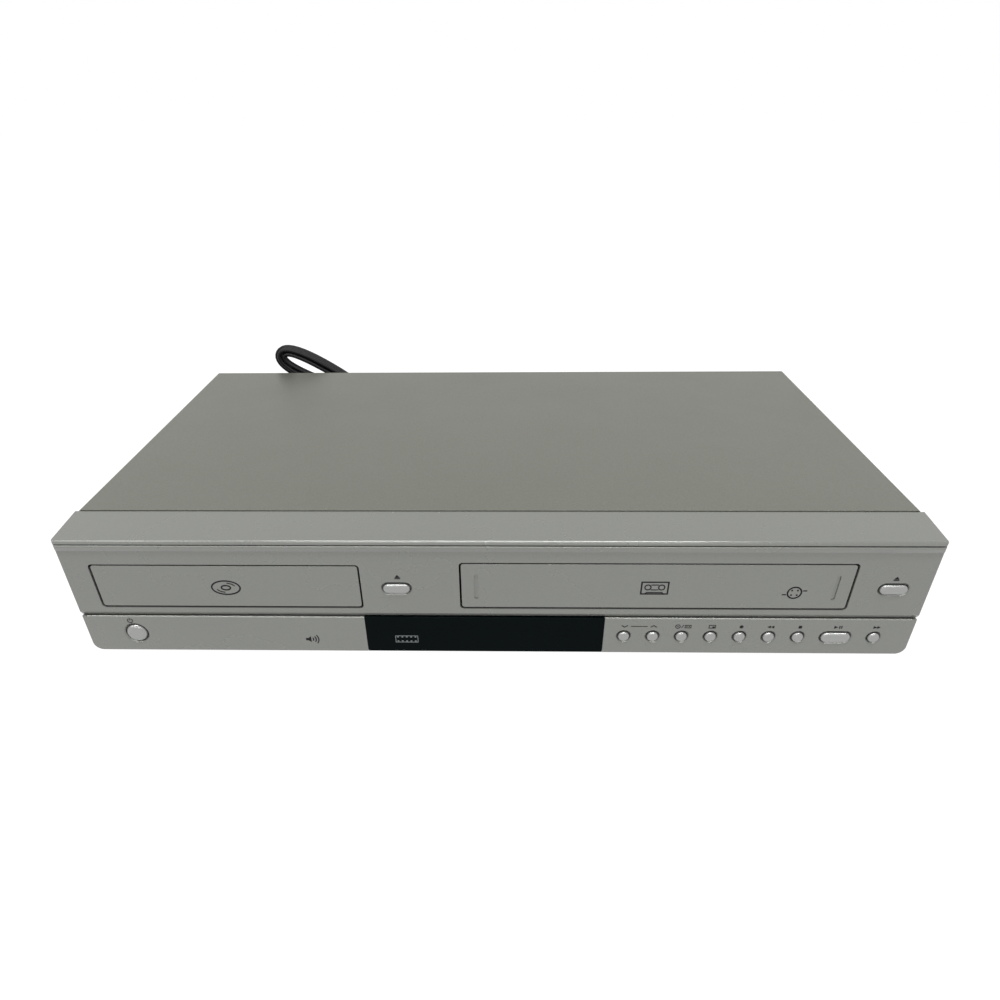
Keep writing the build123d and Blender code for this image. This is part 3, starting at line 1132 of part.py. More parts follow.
def hank_points():
    """The corners of the hank's route with the radius at each; the first and last have none.

    The hank has eight runs. Those of the near layer nest inwards, the fourth climbs to the far
    layer below the waist, and those of the far layer nest outwards again.
    """
    first = FOLD_HALF
    second = first + NEST_PITCH
    third = second + TAIL_PITCH
    across = [second, -second, first, -first, first, -second, second, -third]
    near, far = HANK_NEAR_Y, HANK_FAR_Y
    layers = [near] * 4 + [far] * 4
    points = []
    radii = []
    bend = math.radians((HANK_LOWER_SLOPE - HANK_UPPER_SLOPE) / 2)
    waists = []
    for place in across:
        drawn = math.copysign(abs(place) - DRAWN_IN, place)
        waists.append(shifted(HANK_WAIST, WAIST_WAY, 0, drawn / math.cos(bend)))
    for i, place in enumerate(across):
        points.append((waists[i][0], layers[i], waists[i][1]))
        radii.append(WAIST_BEND)
        if i == len(across) - 1:
            break
        half = abs(place - across[i + 1]) / 2
        rising = i % 2 == 0
        end = HANK_TOP if rising else HANK_BOTTOM
        way = UPPER_WAY if rising else LOWER_WAY
        for side in (place, across[i + 1]):
            x, z = shifted(end, way, -half if rising else half, side)
            points.append((x, layers[i + 1], z))
            radii.append(half * CORNER_SHARE)
    low = shifted(HANK_BOTTOM, LOWER_WAY, 0, second)
    corner, floor, way = landing(waists[0], low)
    start = (corner[0] - way[0] * LANDING_END, near, corner[1] - way[1] * LANDING_END)
    lead_end = [(floor[0], near, floor[1]), (corner[0], near, corner[1]), start]
    low = shifted(HANK_BOTTOM, LOWER_WAY, 0, -third)
    corner, floor, way = landing(waists[-1], low)
    half_turn = math.asin(-way[1]) / 2
    landing_radius = EASY_SHARE * LANDING_RUN / math.tan(half_turn / 2)
    tail = [(corner[0], far, corner[1]), (floor[0], far, floor[1]), (floor[0] + TAIL_LENGTH, far, floor[1])]
    points = [start] + points + tail
    radii = radii + [landing_radius, landing_radius]
    return points, radii, lead_end


def easy_radii(points):
    """The radius at each inner corner of a free stretch: as large as its two runs allow."""
    radii = []
    for a, b, c in zip(points, points[1:], points[2:]):
        before = Vector(*b) - Vector(*a)
        after = Vector(*c) - Vector(*b)
        turn = math.radians(before.get_angle(after))
        radii.append(EASY_SHARE * min(before.length, after.length) / math.tan(turn / 2))
    return radii


def tube(points, radii):
    """A flat cord along straight runs and tangent arcs; its wide side starts along Y."""
    path = FilletPolyline(*points, radius=radii)
    begin = Vector(*points[0])
    plane = Plane(origin=begin, x_dir=(0, 1, 0), z_dir=Vector(*points[1]) - begin)
    return path, sweep(plane * SlotOverall(CORD_WIDTH, CORD_THICK), path=path)


LEAD_POINTS = [
    (CORD_EXIT_X, RELIEF_END_Y, CORD_EXIT_Z),
    (CORD_EXIT_X, 152.0, CORD_EXIT_Z),
    (-181.0, 166.0, 23.0),
    (-168.0, 177.0, 11.0),
    (-148.0, 183.0, 3.2),
    (-118.0, 185.5, FLOOR_CORD_Z),
    (-78.0, 184.0, FLOOR_CORD_Z),
    (-36.0, 186.0, FLOOR_CORD_Z),
    (8.0, 184.5, FLOOR_CORD_Z),
    (52.6, 185.0, FLOOR_CORD_Z),
    (70.5, 167.1, FLOOR_CORD_Z),
    (70.5, 141.9, FLOOR_CORD_Z),
    (52.6, 124.6, FLOOR_CORD_Z),
    (14.0, 125.0, FLOOR_CORD_Z),
    (-18.0, HANK_NEAR_Y + 0.4, FLOOR_CORD_Z),
]
TAIL_POINTS = [
    (-26.0, 137.5, FLOOR_CORD_Z),
    (-12.0, 147.5, 4.0),
    (2.0, PLUG_Y, PLUG_Z),
    (PLUG_X, PLUG_Y, PLUG_Z),
]


def self_gap(path):
    """The least gap between parts of a cord's path that lie apart along it, on points."""
    step = 1.5
    count = int(path.length / step)
    places = [path.position_at(i / count) for i in range(count + 1)]
    least = 100.0
    apart = int(4 * CORD_WIDTH / step)
    for i, a in enumerate(places):
        for b in places[i + apart :]:
            beside_gap = math.hypot(a.X - b.X, a.Z - b.Z) - CORD_THICK
            layer_gap = abs(a.Y - b.Y) - CORD_WIDTH
            if beside_gap > 0 and layer_gap > 0:
                least = min(least, math.hypot(beside_gap, layer_gap))
            else:
                least = min(least, max(beside_gap, layer_gap))
    return least


def cord():
    """The hank, and the free stretches of the lead: to the strain relief and to the plug."""
    points, radii, lead_end = hank_points()
    tail_start = [points[-1], (points[-1][0] + 9, HANK_FAR_Y, FLOOR_CORD_Z)]
    lead = (LEAD_POINTS + lead_end)[::-1]
    tail = tail_start + TAIL_POINTS
    section = SlotOverall(CORD_WIDTH, CORD_THICK).area
    routes = {"hank": (points, radii), "lead": (lead, easy_radii(lead)), "tail": (tail, easy_radii(tail))}
    total = 0
    solids = {}
    for name, (route, bends) in routes.items():
        path, solids[name] = tube(route, bends)
        total += path.length
        share = solids[name].volume / section / path.length
        print(name, "length", round(path.length, 1), "volume over section times length", round(share, 4))
        print(name, "radii", [round(bend, 1) for bend in bends])
        if name == "hank":
            print("hank gap to itself", round(self_gap(path), 2))
    print("cord length", round(total, 1))
    return solids["hank"], Compound(children=[solids["lead"], solids["tail"]])


def cord_tie():
    """The flat tie round the waist of the hank."""
    half = FOLD_HALF + NEST_PITCH + TAIL_PITCH - DRAWN_IN + CORD_THICK / 2 + 2 * GAP + 1.0
    y0 = HANK_NEAR_Y - CORD_WIDTH / 2 - GAP
    y1 = HANK_FAR_Y + CORD_WIDTH / 2 + GAP
    middle = Pos(HANK_WAIST[0] - 1.0, (y0 + y1) / 2, HANK_WAIST[1] - 1.6)
    turn = Rot(0, (HANK_UPPER_SLOPE + HANK_LOWER_SLOPE) / 2, 0)
    outer = Box(7, y1 - y0 + 1.0, 2 * half + 2.0)
    inner = Box(9, y1 - y0, 2 * half)
    band = fillet(outer.edges().filter_by(Axis.X), 1.4) - fillet(inner.edges().filter_by(Axis.X), 0.9)
    return middle * turn * band


def strain_relief():
    """The tapered strain relief in the rear panel."""
    flange = rod_y(CORD_EXIT_X, CORD_EXIT_Z, REAR_FACE_Y - 3, REAR_FACE_Y - GAP, RELIEF_NECK + 2)
    neck = rod_y(CORD_EXIT_X, CORD_EXIT_Z, REAR_FACE_Y - GAP - 0.1, REAR_Y + 1, RELIEF_NECK)
    y0 = REAR_FACE_Y + REAR_SHEET + GAP
    plane0 = Plane(origin=(CORD_EXIT_X, y0, CORD_EXIT_Z), x_dir=(1, 0, 0), z_dir=(0, 1, 0))
    plane1 = Plane(origin=(CORD_EXIT_X, RELIEF_END_Y, CORD_EXIT_Z), x_dir=(1, 0, 0), z_dir=(0, 1, 0))
    cone = loft([plane0 * Circle(RELIEF_NECK + 1.2), plane1 * Circle(RELIEF_END_RADIUS)], ruled=True)
    cone -= [
        Pos(CORD_EXIT_X, y0 + 6 + 4 * i, CORD_EXIT_Z + side * 5) * Box(14, 1.4, 5)
        for i in range(5)
        for side in (-1, 1)
    ]
    return flange + neck + cone


def power_plug():
    """The two-blade plug on the end of the lead."""
    x0 = PLUG_X + PLUG_NOSE
    body = Pos(x0 + PLUG_LENGTH / 2, PLUG_Y, PLUG_Z) * Box(PLUG_LENGTH, PLUG_WIDTH, PLUG_THICK)
    body = fillet(body.edges().filter_by(Axis.X), 3.0)
    body = chamfer(body.faces().sort_by(Axis.X)[0].edges(), 2.4)
    plane0 = Plane(origin=(PLUG_X, PLUG_Y, PLUG_Z), x_dir=(0, 1, 0), z_dir=(1, 0, 0))
    plane1 = Plane(origin=(x0 + 0.1, PLUG_Y, PLUG_Z), x_dir=(0, 1, 0), z_dir=(1, 0, 0))
    body += loft([plane0 * Circle(3.2), plane1 * Circle(4.6)], ruled=True)
    x1 = x0 + PLUG_LENGTH
    for side in (-0.5, 0.5):
        blade = Pos(x1 + BLADE_LENGTH / 2 - 0.1, PLUG_Y + side * BLADE_GAP, PLUG_Z)
        blade = blade * Box(BLADE_LENGTH + 0.2, BLADE_THICK, BLADE_WIDTH)
        body += blade
    return body


def main():
    """Write every piece to its own file."""
    hank, stretches = cord()
    pieces = {
        "top_cover": top_cover(),
        "front_bezel": front_bezel(),
        "lower_trim": lower_trim(),
        "display_window": display_window(),
        "chassis_base": chassis_base(),
        "feet": feet(),
        "rear_panel": rear_panel(),
        "case_screws": case_screws(),
        "main_board": main_board(),
        "power_board": power_board(),
        "front_board": front_board(),
        "av_sockets": av_sockets(),
        "aerial_sockets": aerial_sockets(),
        "loader_frame": loader_frame(),
        "clamp_bridge": clamp_bridge(),
        "clamper": clamper(),
        "disc_tray": disc_tray(),
        "tray_door": tray_door(),
        "tray_gear": tray_gear(),
        "tray_pinion": tray_pinion(),
        "tray_motor": tray_motor(),
        "traverse_frame": traverse_frame(),
        "spindle_motor": spindle_motor(),
        "turntable": turntable(),
        "sled": sled(),
        "sled_rods": sled_rods(),
        "sled_screw": sled_screw(),
        "sled_motor": sled_motor(),
        "deck_plate": deck_plate(),
        "drum_base": drum_base(),
        "head_drum": head_drum(),
        "capstan": capstan(),
        "pinch_roller": pinch_roller(),
        "pinch_arm": pinch_arm(),
        "supply_reel": reel(-1),
        "take_up_reel": reel(1),
        "supply_post": loading_post(-1),
        "take_up_post": loading_post(1),
        "loading_motor": loading_motor(),
        "cassette_holder": cassette_holder(),
        "holder_sliders": holder_sliders(),
        "cassette_door": cassette_door(),
        "door_spring": door_spring(),
        "power_button": button(POWER_X, POWER_Z, TRIM_Y, POWER_DIAMETER, POWER_DIAMETER),
        "open_button": button(OPEN_X, OPEN_Z, FACE_Y, LARGE_BUTTON_WIDTH, LARGE_BUTTON_HEIGHT),
        "eject_button": button(EJECT_X, EJECT_Z, FACE_Y, LARGE_BUTTON_WIDTH, LARGE_BUTTON_HEIGHT),
        "play_button": button(PLAY_X, SMALL_BUTTON_Z, TRIM_Y, PLAY_WIDTH, PLAY_HEIGHT),
        "strain_relief": strain_relief(),
        "power_cord": stretches,
        "cord_hank": hank,
        "cord_tie": cord_tie(),
        "power_plug": power_plug(),
    }
    for name, x in SMALL_BUTTONS.items():
        size = SMALL_BUTTON_DIAMETER
        pieces[name] = button(x, SMALL_BUTTON_Z, TRIM_Y, size, size)
    for name, piece in pieces.items():
        save(name, piece)
    print(len(pieces), "pieces")


if __name__ == "__main__":
    main()
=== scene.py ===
"""Looks of the disc and cassette combo player: finishes, printed marks, socket rings and the power cord."""

from __future__ import annotations

import json
import logging
import math
from dataclasses import dataclass, field, replace
from enum import Enum
from typing import Iterable, Sequence

import bmesh
import bpy
from mathutils import Matrix, Vector

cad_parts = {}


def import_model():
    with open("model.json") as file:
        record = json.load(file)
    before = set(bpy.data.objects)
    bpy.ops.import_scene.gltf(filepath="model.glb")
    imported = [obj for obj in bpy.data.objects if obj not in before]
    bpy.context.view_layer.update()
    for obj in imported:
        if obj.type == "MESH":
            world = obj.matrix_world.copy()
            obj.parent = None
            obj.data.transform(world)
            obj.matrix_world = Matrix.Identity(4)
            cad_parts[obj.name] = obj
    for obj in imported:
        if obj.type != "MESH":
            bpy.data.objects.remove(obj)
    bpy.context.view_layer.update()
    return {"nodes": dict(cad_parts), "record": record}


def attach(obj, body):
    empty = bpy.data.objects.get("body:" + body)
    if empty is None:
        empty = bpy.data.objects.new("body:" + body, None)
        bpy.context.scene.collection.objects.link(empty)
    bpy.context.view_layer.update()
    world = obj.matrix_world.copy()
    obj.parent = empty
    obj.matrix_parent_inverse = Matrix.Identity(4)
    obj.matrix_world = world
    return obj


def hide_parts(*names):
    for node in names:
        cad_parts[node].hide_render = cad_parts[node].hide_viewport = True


LOG = logging.getLogger("player")
MM = 0.001
Color = tuple[float, float, float]
Point2 = tuple[float, float]
Point3 = tuple[float, float, float]
Node = bpy.types.Node
Socket = bpy.types.NodeSocket
Outputs = bpy.types.NodeOutputs
Inputs = dict[str | int, object]

# The faces that several pieces stand on, in millimetres along Y
FACE_Y = -118.7
TRIM_Y = -118.5
DOOR_Y = -118.5
REAR_SOCKET_Y = 120.0

# Roughness varies in smaller patches than the shade does
ROUGH_PATCHES = 2.3


class Coordinates(Enum):
    """The size of a texture along each axis, as shares of its scale."""

    ALONG_X = (0.02, 1.0, 1.0)
    ALONG_Z = (1.0, 1.0, 0.02)


class Tree:
    """A shader node tree with short calls for adding and joining nodes."""

    def __init__(self, tree: bpy.types.NodeTree) -> None:
        """Wrap a node tree."""
        self.tree = tree

    def feed(self, node: Node, values: Inputs) -> Node:
        """Set or join a node's inputs.

        Args:
            node: the node.
            values: what each input takes, by name or number: an output to join, or a plain value.

        Returns:
            The same node.
        """
        for name, value in values.items():
            if isinstance(value, Socket):
                self.tree.links.new(value, node.inputs[name])
            else:
                node.inputs[name].default_value = value
        return node

    def add(self, kind: str, values: Inputs | None = None, **settings: object) -> Node:
        """Add a node.

        Args:
            kind: the node's type without its Shader prefix, such as "NodeTexNoise".
            values: what its inputs take.
            settings: the node's own properties.

        Returns:
            The new node.
        """
        node = self.tree.nodes.new("Shader" + kind)
        for name, value in settings.items():
            setattr(node, name, value)
        return self.feed(node, values or {})


def fresh_tree(owner: bpy.types.Material | bpy.types.World) -> Tree:
    """Give a new material or world an empty node tree."""
    owner.use_nodes = True
    owner.node_tree.nodes.clear()
    return Tree(owner.node_tree)


class ShaderGroup:
    """A shared surface effect: a node group with named inputs and outputs, built once."""

    name = "effect"
    inputs: dict[str, float] = {}
    outputs: tuple[str, ...] = ("Height",)

    @classmethod
    def tree(cls) -> bpy.types.NodeTree:
        """Return the group's node tree, and build it the first time."""
        found = bpy.data.node_groups.get(cls.name)
        if found is not None:
            return found
        made = bpy.data.node_groups.new(cls.name, "ShaderNodeTree")
        for name, value in cls.inputs.items():
            socket = made.interface.new_socket(name, in_out="INPUT", socket_type="NodeSocketFloat")
            socket.default_value = value
        for name in cls.outputs:
            made.interface.new_socket(name, in_out="OUTPUT", socket_type="NodeSocketFloat")
        tree = Tree(made)
        entry = made.nodes.new("NodeGroupInput")
        tree.feed(made.nodes.new("NodeGroupOutput"), cls.effect(tree, entry.outputs))
        return made

    @classmethod
    def effect(cls, tree: Tree, given: Outputs) -> Inputs:
        """Build the effect from the group's inputs, and return what its outputs carry."""
        raise NotImplementedError

    @classmethod
    def place(cls, tree: Tree, **values: float) -> Node:
        """Put the group in a material with its own values."""
        return tree.add("NodeGroup", values, node_tree=cls.tree())

    @staticmethod
    def texture(tree: Tree, given: Outputs, kind: str, **settings: object) -> Node:
        """Add a texture in the piece's own space, at the group's Scale."""
        place = tree.add("NodeTexCoord").outputs["Object"]
        return tree.add(kind, {"Vector": place, "Scale": given["Scale"]}, **settings)


class Flake(ShaderGroup):
    """Metal flake in paint: small cells, each a little lighter or darker."""

    name = "metal_flake"
    inputs = {"Scale": 2500.0, "Depth": 0.1}
    outputs = ("Shade", "Height")

    @classmethod
    def effect(cls, tree: Tree, given: Outputs) -> Inputs:
        """Cells of random brightness about one, and a fine orange-peel height."""
        cells = cls.texture(tree, given, "NodeTexVoronoi")
        split = tree.add("NodeSeparateColor", {"Color": cells.outputs["Color"]})
        centred = tree.add("NodeMath", {0: split.outputs["Red"], 1: 0.5}, operation="SUBTRACT")
        values = {0: centred.outputs[0], 1: given["Depth"], 2: 1.0}
        shade = tree.add("NodeMath", values, operation="MULTIPLY_ADD")
        peel = tree.feed(cls.texture(tree, given, "NodeTexNoise"), {"Detail": 2.0})
        return {"Shade": shade.outputs[0], "Height": peel.outputs["Fac"]}


class Grain(ShaderGroup):
    """The fine grain of moulded plastic, rubber and cast metal."""

    name = "moulded_grain"
    inputs = {"Scale": 1800.0}

    @classmethod
    def effect(cls, tree: Tree, given: Outputs) -> Inputs:
        """Noise in the piece's own space."""
        noise = tree.feed(cls.texture(tree, given, "NodeTexNoise"), {"Detail": 4.0, "Roughness": 0.6})
        return {"Height": noise.outputs["Fac"]}


class Smudge(ShaderGroup):
    """Slow, faint variation from handling and dust, as a value from Low to High."""

    name = "smudge"
    inputs = {"Scale": 14.0, "Low": 0.9, "High": 1.1}
    outputs = ("Value",)

    @classmethod
    def effect(cls, tree: Tree, given: Outputs) -> Inputs:
        """Soft noise, spread to the two limits."""
        noise = tree.feed(cls.texture(tree, given, "NodeTexNoise"), {"Detail": 5.0, "Roughness": 0.55})
        values = {"Value": noise.outputs["Fac"], "From Min": 0.3, "From Max": 0.7}
        limits = {"To Min": given["Low"], "To Max": given["High"]}
        return {"Value": tree.add("NodeMapRange", {**values, **limits}).outputs["Result"]}


class Brushed(ShaderGroup):
    """The drawn lines of rolled, brushed or turned metal."""

    name = "drawn_lines"
    inputs = {"Scale": 1200.0, "X": 1.0, "Y": 1.0, "Z": 1.0}

    @classmethod
    def effect(cls, tree: Tree, given: Outputs) -> Inputs:
        """Noise stretched along one axis."""
        place = tree.add("NodeTexCoord").outputs["Object"]
        stretch = tree.add("NodeCombineXYZ", {axis: given[axis] for axis in "XYZ"})
        drawn = tree.add("NodeVectorMath", {0: place, 1: stretch.outputs[0]}, operation="MULTIPLY")
        values = {"Vector": drawn.outputs[0], "Scale": given["Scale"], "Detail": 3.0, "Roughness": 0.7}
        return {"Height": tree.add("NodeTexNoise", values).outputs["Fac"]}


class Traces(ShaderGroup):
    """The copper tracks of a circuit board, as a mask."""

    name = "circuit_traces"
    inputs = {"Scale": 160.0}
    outputs = ("Mask",)

    @classmethod
    def effect(cls, tree: Tree, given: Outputs) -> Inputs:
        """Thin lines between irregular cells."""
        cells = cls.texture(tree, given, "NodeTexVoronoi", feature="DISTANCE_TO_EDGE")
        thin = tree.add("NodeMath", {0: cells.outputs["Distance"], 1: 0.06}, operation="LESS_THAN")
        return {"Mask": thin.outputs[0]}


@dataclass(frozen=True)
class Finish:
    """A surface of one base colour, with grain, drawn lines, flake and smudges where it has them.

    Scales count cells per metre, and bumps are in metres.
    """

    name: str
    color: Color
    metallic: float = 0.0
    roughness: float = 0.5
    coat: float = 0.0
    coat_roughness: float = 0.15
    specular: float = 0.5
    flake_scale: float = 0.0
    flake_depth: float = 0.0
    grain_scale: float = 0.0
    grain_bump: float = 0.0
    lines: Coordinates | None = None
    line_scale: float = 1200.0
    line_bump: float = 0.00001
    smudge_scale: float = 14.0
    smudge_shade: float = 0.03
    smudge_rough: float = 0.08

    def shaded(self, tree: Tree) -> Socket:
        """Build the colour of the surface.

        Args:
            tree: the material's nodes.

        Returns:
            The socket that carries the colour.
        """
        limits = {"Low": 1 - self.smudge_shade, "High": 1 + self.smudge_shade}
        shade = Smudge.place(tree, Scale=self.smudge_scale, **limits).outputs["Value"]
        if self.flake_depth:
            flake = Flake.place(tree, Scale=self.flake_scale, Depth=self.flake_depth)
            both = {0: shade, 1: flake.outputs["Shade"]}
            shade = tree.add("NodeMath", both, operation="MULTIPLY").outputs[0]
        tint = tree.add("NodeVectorMath", {0: self.color, "Scale": shade}, operation="SCALE")
        return tint.outputs[0]

    def heights(self, tree: Tree) -> list[tuple[Socket, float]]:
        """Build the heights of the surface.

        Args:
            tree: the material's nodes.

        Returns:
            Each height's socket with its depth in metres.
        """
        made = []
        if self.flake_depth:
            flake = Flake.place(tree, Scale=self.flake_scale, Depth=self.flake_depth)
            made.append((flake.outputs["Height"], self.grain_bump))
        elif self.grain_scale:
            grain = Grain.place(tree, Scale=self.grain_scale)
            made.append((grain.outputs["Height"], self.grain_bump))
        if self.lines is not None:
            x, y, z = self.lines.value
            drawn = Brushed.place(tree, Scale=self.line_scale, X=x, Y=y, Z=z)
            made.append((drawn.outputs["Height"], self.line_bump))
        return made

    def build(self) -> bpy.types.Material:
        """Build the material, or return it where it exists.

        Returns:
            The material, named after the finish and apart from the frame's own materials.
        """
        name = "finish_" + self.name
        found = bpy.data.materials.get(name)
        if found is not None:
            return found
        material = bpy.data.materials.new(name)
        tree = fresh_tree(material)
        rough = Smudge.place(
            tree,
            Scale=self.smudge_scale * ROUGH_PATCHES,
            Low=self.roughness * (1 - self.smudge_rough),
            High=self.roughness * (1 + self.smudge_rough),
        )
        values = {
            "Base Color": self.shaded(tree),
            "Metallic": self.metallic,
            "Roughness": rough.outputs["Value"],
            "Specular IOR Level": self.specular,
            "Coat Weight": self.coat,
            "Coat Roughness": self.coat_roughness,
        }
        for height, depth in self.heights(tree):
            bump = {"Height": height, "Strength": 1.0, "Distance": depth}
            if "Normal" in values:
                bump["Normal"] = values["Normal"]
            values["Normal"] = tree.add("NodeBump", bump).outputs["Normal"]
        shader = tree.add("NodeBsdfPrincipled", values)
        tree.add("NodeOutputMaterial", {"Surface": shader.outputs[0]})
        return material


@dataclass(frozen=True)
class BoardFinish(Finish):
    """A lacquered circuit board with its tracks."""

    track_color: Color = (0.16, 0.3, 0.12)
    track_scale: float = 160.0

    def shaded(self, tree: Tree) -> Socket:
        """Build the lacquer's colour with the tracks in it.

        Args:
            tree: the material's nodes.

        Returns:
            The socket that carries the colour.
        """
        tracks = Traces.place(tree, Scale=self.track_scale)
        values = {0: tracks.outputs["Mask"], 6: super().shaded(tree), 7: (*self.track_color, 1.0)}
        return tree.add("NodeMix", values, data_type="RGBA").outputs[2]


CASE = Finish(
    "case_silver", (0.148, 0.151, 0.127), metallic=0.4, roughness=0.44, flake_scale=2200.0,
    flake_depth=0.16, grain_bump=0.000012, smudge_scale=7.0, smudge_shade=0.025,
)
BEZEL = Finish(
    "bezel_silver", (0.205, 0.21, 0.194), metallic=0.42, roughness=0.27, coat=0.25, coat_roughness=0.2,
    flake_scale=3200.0, flake_depth=0.1, grain_bump=0.000004, smudge_scale=9.0, smudge_shade=0.015,
)
DOOR = replace(BEZEL, name="door_silver")
BUTTON = Finish(
    "button_silver", (0.32, 0.325, 0.315), metallic=0.6, roughness=0.24, flake_scale=3600.0,
    flake_depth=0.06, grain_bump=0.000002, smudge_shade=0.01,
)
WINDOW = Finish(
    "window_black", (0.0025, 0.0045, 0.005), roughness=0.07, specular=0.02,
    grain_scale=90.0, grain_bump=0.000001, smudge_rough=0.3,
)
ZINC = Finish(
    "zinc_steel", (0.42, 0.43, 0.43), metallic=1.0, roughness=0.36, lines=Coordinates.ALONG_X,
    line_bump=0.000006, smudge_scale=30.0, smudge_shade=0.08,
)
BLACK_STEEL = Finish(
    "black_steel", (0.028, 0.028, 0.03), metallic=0.2, roughness=0.5, grain_scale=2600.0,
    grain_bump=0.00002,
)
BOARD = BoardFinish("board_green", (0.03, 0.105, 0.045), roughness=0.32, coat=0.4)
BLACK_PLASTIC = Finish(
    "black_plastic", (0.018, 0.018, 0.019), roughness=0.42, grain_scale=1600.0, grain_bump=0.00002
)
GREY_PLASTIC = Finish(
    "grey_plastic", (0.2, 0.205, 0.21), roughness=0.48, grain_scale=1600.0, grain_bump=0.00002
)
WHITE_PLASTIC = Finish(
    "white_plastic", (0.62, 0.61, 0.57), roughness=0.38, grain_scale=1500.0, grain_bump=0.00001
)
MOTOR = Finish(
    "motor_steel", (0.42, 0.42, 0.43), metallic=1.0, roughness=0.3, lines=Coordinates.ALONG_Z,
    line_bump=0.000004, smudge_scale=40.0, smudge_shade=0.06,
)
DRUM = Finish(
    "drum_aluminium", (0.62, 0.63, 0.64), metallic=1.0, roughness=0.22, lines=Coordinates.ALONG_X,
    line_scale=2400.0, line_bump=0.000003,
)
SHAFT = Finish(
    "shaft_steel", (0.6, 0.6, 0.61), metallic=1.0, roughness=0.14, lines=Coordinates.ALONG_Z,
    line_bump=0.000001,
)
ROLLER = Finish(
    "roller_rubber", (0.022, 0.022, 0.023), roughness=0.72, grain_scale=2400.0, grain_bump=0.00002
)
FOOT = Finish(
    "foot_rubber", (0.026, 0.026, 0.027), roughness=0.66, grain_scale=1400.0, grain_bump=0.00003
)
SOCKET = Finish(
    "socket_plastic", (0.022, 0.022, 0.024), roughness=0.36, grain_scale=1700.0, grain_bump=0.00001
)
CORD = Finish(
    "cord_black", (0.006, 0.006, 0.0062), roughness=0.5, specular=0.2, grain_scale=1100.0,
    grain_bump=0.00001, smudge_shade=0.12,
)
SCREW = Finish(
    "screw_steel", (0.36, 0.36, 0.36), metallic=1.0, roughness=0.3, grain_scale=3000.0,
    grain_bump=0.000004,
)
FINISHES = (
    CASE, BEZEL, DOOR, BUTTON, WINDOW, ZINC, BLACK_STEEL, BOARD, BLACK_PLASTIC, GREY_PLASTIC,
    WHITE_PLASTIC, MOTOR, DRUM, SHAFT, ROLLER, FOOT, SOCKET, CORD, SCREW,
)
INK = Finish(
    "mark_ink", (0.008, 0.008, 0.009), roughness=0.6, specular=0.15, grain_scale=2000.0, grain_bump=0.000002
)
WINDOW_INK = Finish("window_ink", (0.2, 0.22, 0.215), roughness=0.4, smudge_shade=0.05)


def linked(name: str, data: bpy.types.ID) -> bpy.types.Object:
    """Make an object of a mesh, curve, camera or lamp, and put it in the scene."""
    piece = bpy.data.objects.new(name, data)
    bpy.context.scene.collection.objects.link(piece)
    return piece


def dressed(piece: bpy.types.Object, finish: Finish, body: str) -> bpy.types.Object:
    """Give a new piece its finish and its body.

    Args:
        piece: the new object, in place.
        finish: its surface.
        body: the name of the body that it rides on.

    Returns:
        The same object.
    """
    piece.data.materials.clear()
    piece.data.materials.append(finish.build())
    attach(piece, body)
    LOG.info("%s rides on %s", piece.name, body)
    return piece


